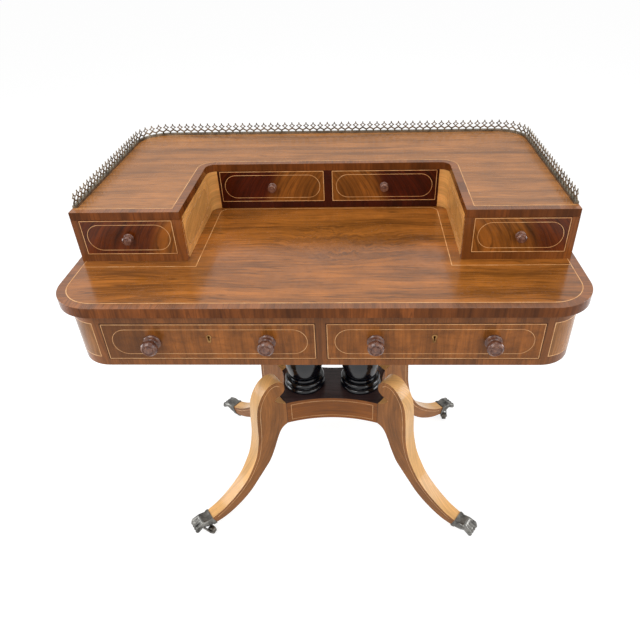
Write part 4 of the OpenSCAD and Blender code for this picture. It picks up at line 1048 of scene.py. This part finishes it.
def floor_material():
    """White to the camera and in reflections, a plain pale surface to everything else."""
    material = bpy.data.materials.new("pale_floor")
    material.use_nodes = True
    tree = material.node_tree
    tree.nodes.clear()
    output = tree.nodes.new("ShaderNodeOutputMaterial")
    pale = tree.nodes.new("ShaderNodeBsdfDiffuse")
    pale.inputs["Color"].default_value = (FLOOR_SHADE, FLOOR_SHADE, FLOOR_SHADE, 1)
    glow = tree.nodes.new("ShaderNodeEmission")
    glow.inputs["Strength"].default_value = FLOOR_GLOW
    both = tree.nodes.new("ShaderNodeAddShader")
    tree.links.new(glow.outputs[0], both.inputs[0])
    tree.links.new(pale.outputs[0], both.inputs[1])
    choose_by_ray(tree, pale, both, output)
    return material


def choose_by_ray(tree, plain, seen, output):
    """Joins two shaders: one for the rays that see the background, from the camera, in a reflection or
    through glass, and a plain one for all other rays."""
    rays = tree.nodes.new("ShaderNodeLightPath")
    share = rays.outputs["Is Camera Ray"]
    for kind in ("Is Glossy Ray", "Is Transmission Ray"):
        either = tree.nodes.new("ShaderNodeMath")
        either.operation = "MAXIMUM"
        tree.links.new(share, either.inputs[0])
        tree.links.new(rays.outputs[kind], either.inputs[1])
        share = either.outputs[0]
    choose = tree.nodes.new("ShaderNodeMixShader")
    tree.links.new(share, choose.inputs[0])
    tree.links.new(plain.outputs[0], choose.inputs[1])
    tree.links.new(seen.outputs[0], choose.inputs[2])
    tree.links.new(choose.outputs[0], output.inputs[0])


def world():
    """Plain soft light all round, seen as white."""
    scene_world = bpy.data.worlds.new("studio")
    bpy.context.scene.world = scene_world
    scene_world.use_nodes = True
    tree = scene_world.node_tree
    tree.nodes.clear()
    output = tree.nodes.new("ShaderNodeOutputWorld")
    light = tree.nodes.new("ShaderNodeBackground")
    light.inputs["Color"].default_value = (1, 1, 1, 1)
    light.inputs["Strength"].default_value = WORLD_LIGHT
    white = tree.nodes.new("ShaderNodeBackground")
    white.inputs["Strength"].default_value = 1.0
    white.inputs["Color"].default_value = (1, 1, 1, 1)
    choose_by_ray(tree, light, white, output)


def sheet(name, corners, material):
    """A plain four-cornered sheet of the studio, which isn't part of the desk."""
    data = bpy.data.meshes.new(name)
    data.from_pydata(corners, [], [(0, 1, 2, 3)])
    data.materials.append(material)
    piece = bpy.data.objects.new(name, data)
    bpy.context.scene.collection.objects.link(piece)
    return piece


def floor():
    half = FLOOR_HALF
    sheet("floor", [(-half, -half, 0), (half, -half, 0), (half, half, 0), (-half, half, 0)], floor_material())


def card():
    """A grey card behind the desk that shows only in the polish, as the far wall of a room does."""
    low_left, low_right = (-CARD_HALF_W, CARD_Y, CARD_LOW), (CARD_HALF_W, CARD_Y, CARD_LOW)
    high_left, high_right = (-CARD_HALF_W, CARD_Y, CARD_HIGH), (CARD_HALF_W, CARD_Y, CARD_HIGH)
    shader = Shader("card")
    height = shader.split(shader.place)[2]
    shader.set(Base_Color=(0, 0, 0, 1), Specular_IOR_Level=0.0, Emission_Color=(1, 1, 1, 1),
               Emission_Strength=shader.step(height, CARD_MIDDLE, CARD_HIGH, *CARD_GLOW))
    piece = sheet("card", [low_left, low_right, high_right, high_left], shader.material)
    piece.visible_camera = False
    piece.visible_diffuse = False
    piece.visible_shadow = False


def studio():
    bpy.context.scene.view_settings.view_transform = "Standard"
    camera()
    world()
    floor()
    card()
    panel("key", (-1.5, -2.1, 2.6), (0, 0, 0.6), 1.6, 1.6, 40)
    panel("fill", (1.9, -1.9, 1.5), (0, 0, 0.5), 1.5, 1.5, 18)
    panel("overhead", (0, 0.1, 3.2), (0, 0, 0.6), 2.4, 1.6, 30)
    for side, sign in SIDES.items():
        panel(f"window_{side}", (sign * 2.6, -0.1, 0.85), (0, 0, 0.45), 1.0, 1.1, 24, DAYLIGHT)


top_strings()
stage_strings()
for side in SIDES:
    drawer_strings("", side, f"frieze_drawer_{side}")
    drawer_strings("wing_", side, f"wing_drawer_{side}")
    drawer_strings("back_", side, f"back_drawer_{side}")
    frieze_end_string(side)
    wing_side_strings(side)
for corner in CORNERS:
    leg_strings(corner)
platform_strings()
dress_boards()
dress_drawers()
dress_legs()
studio()
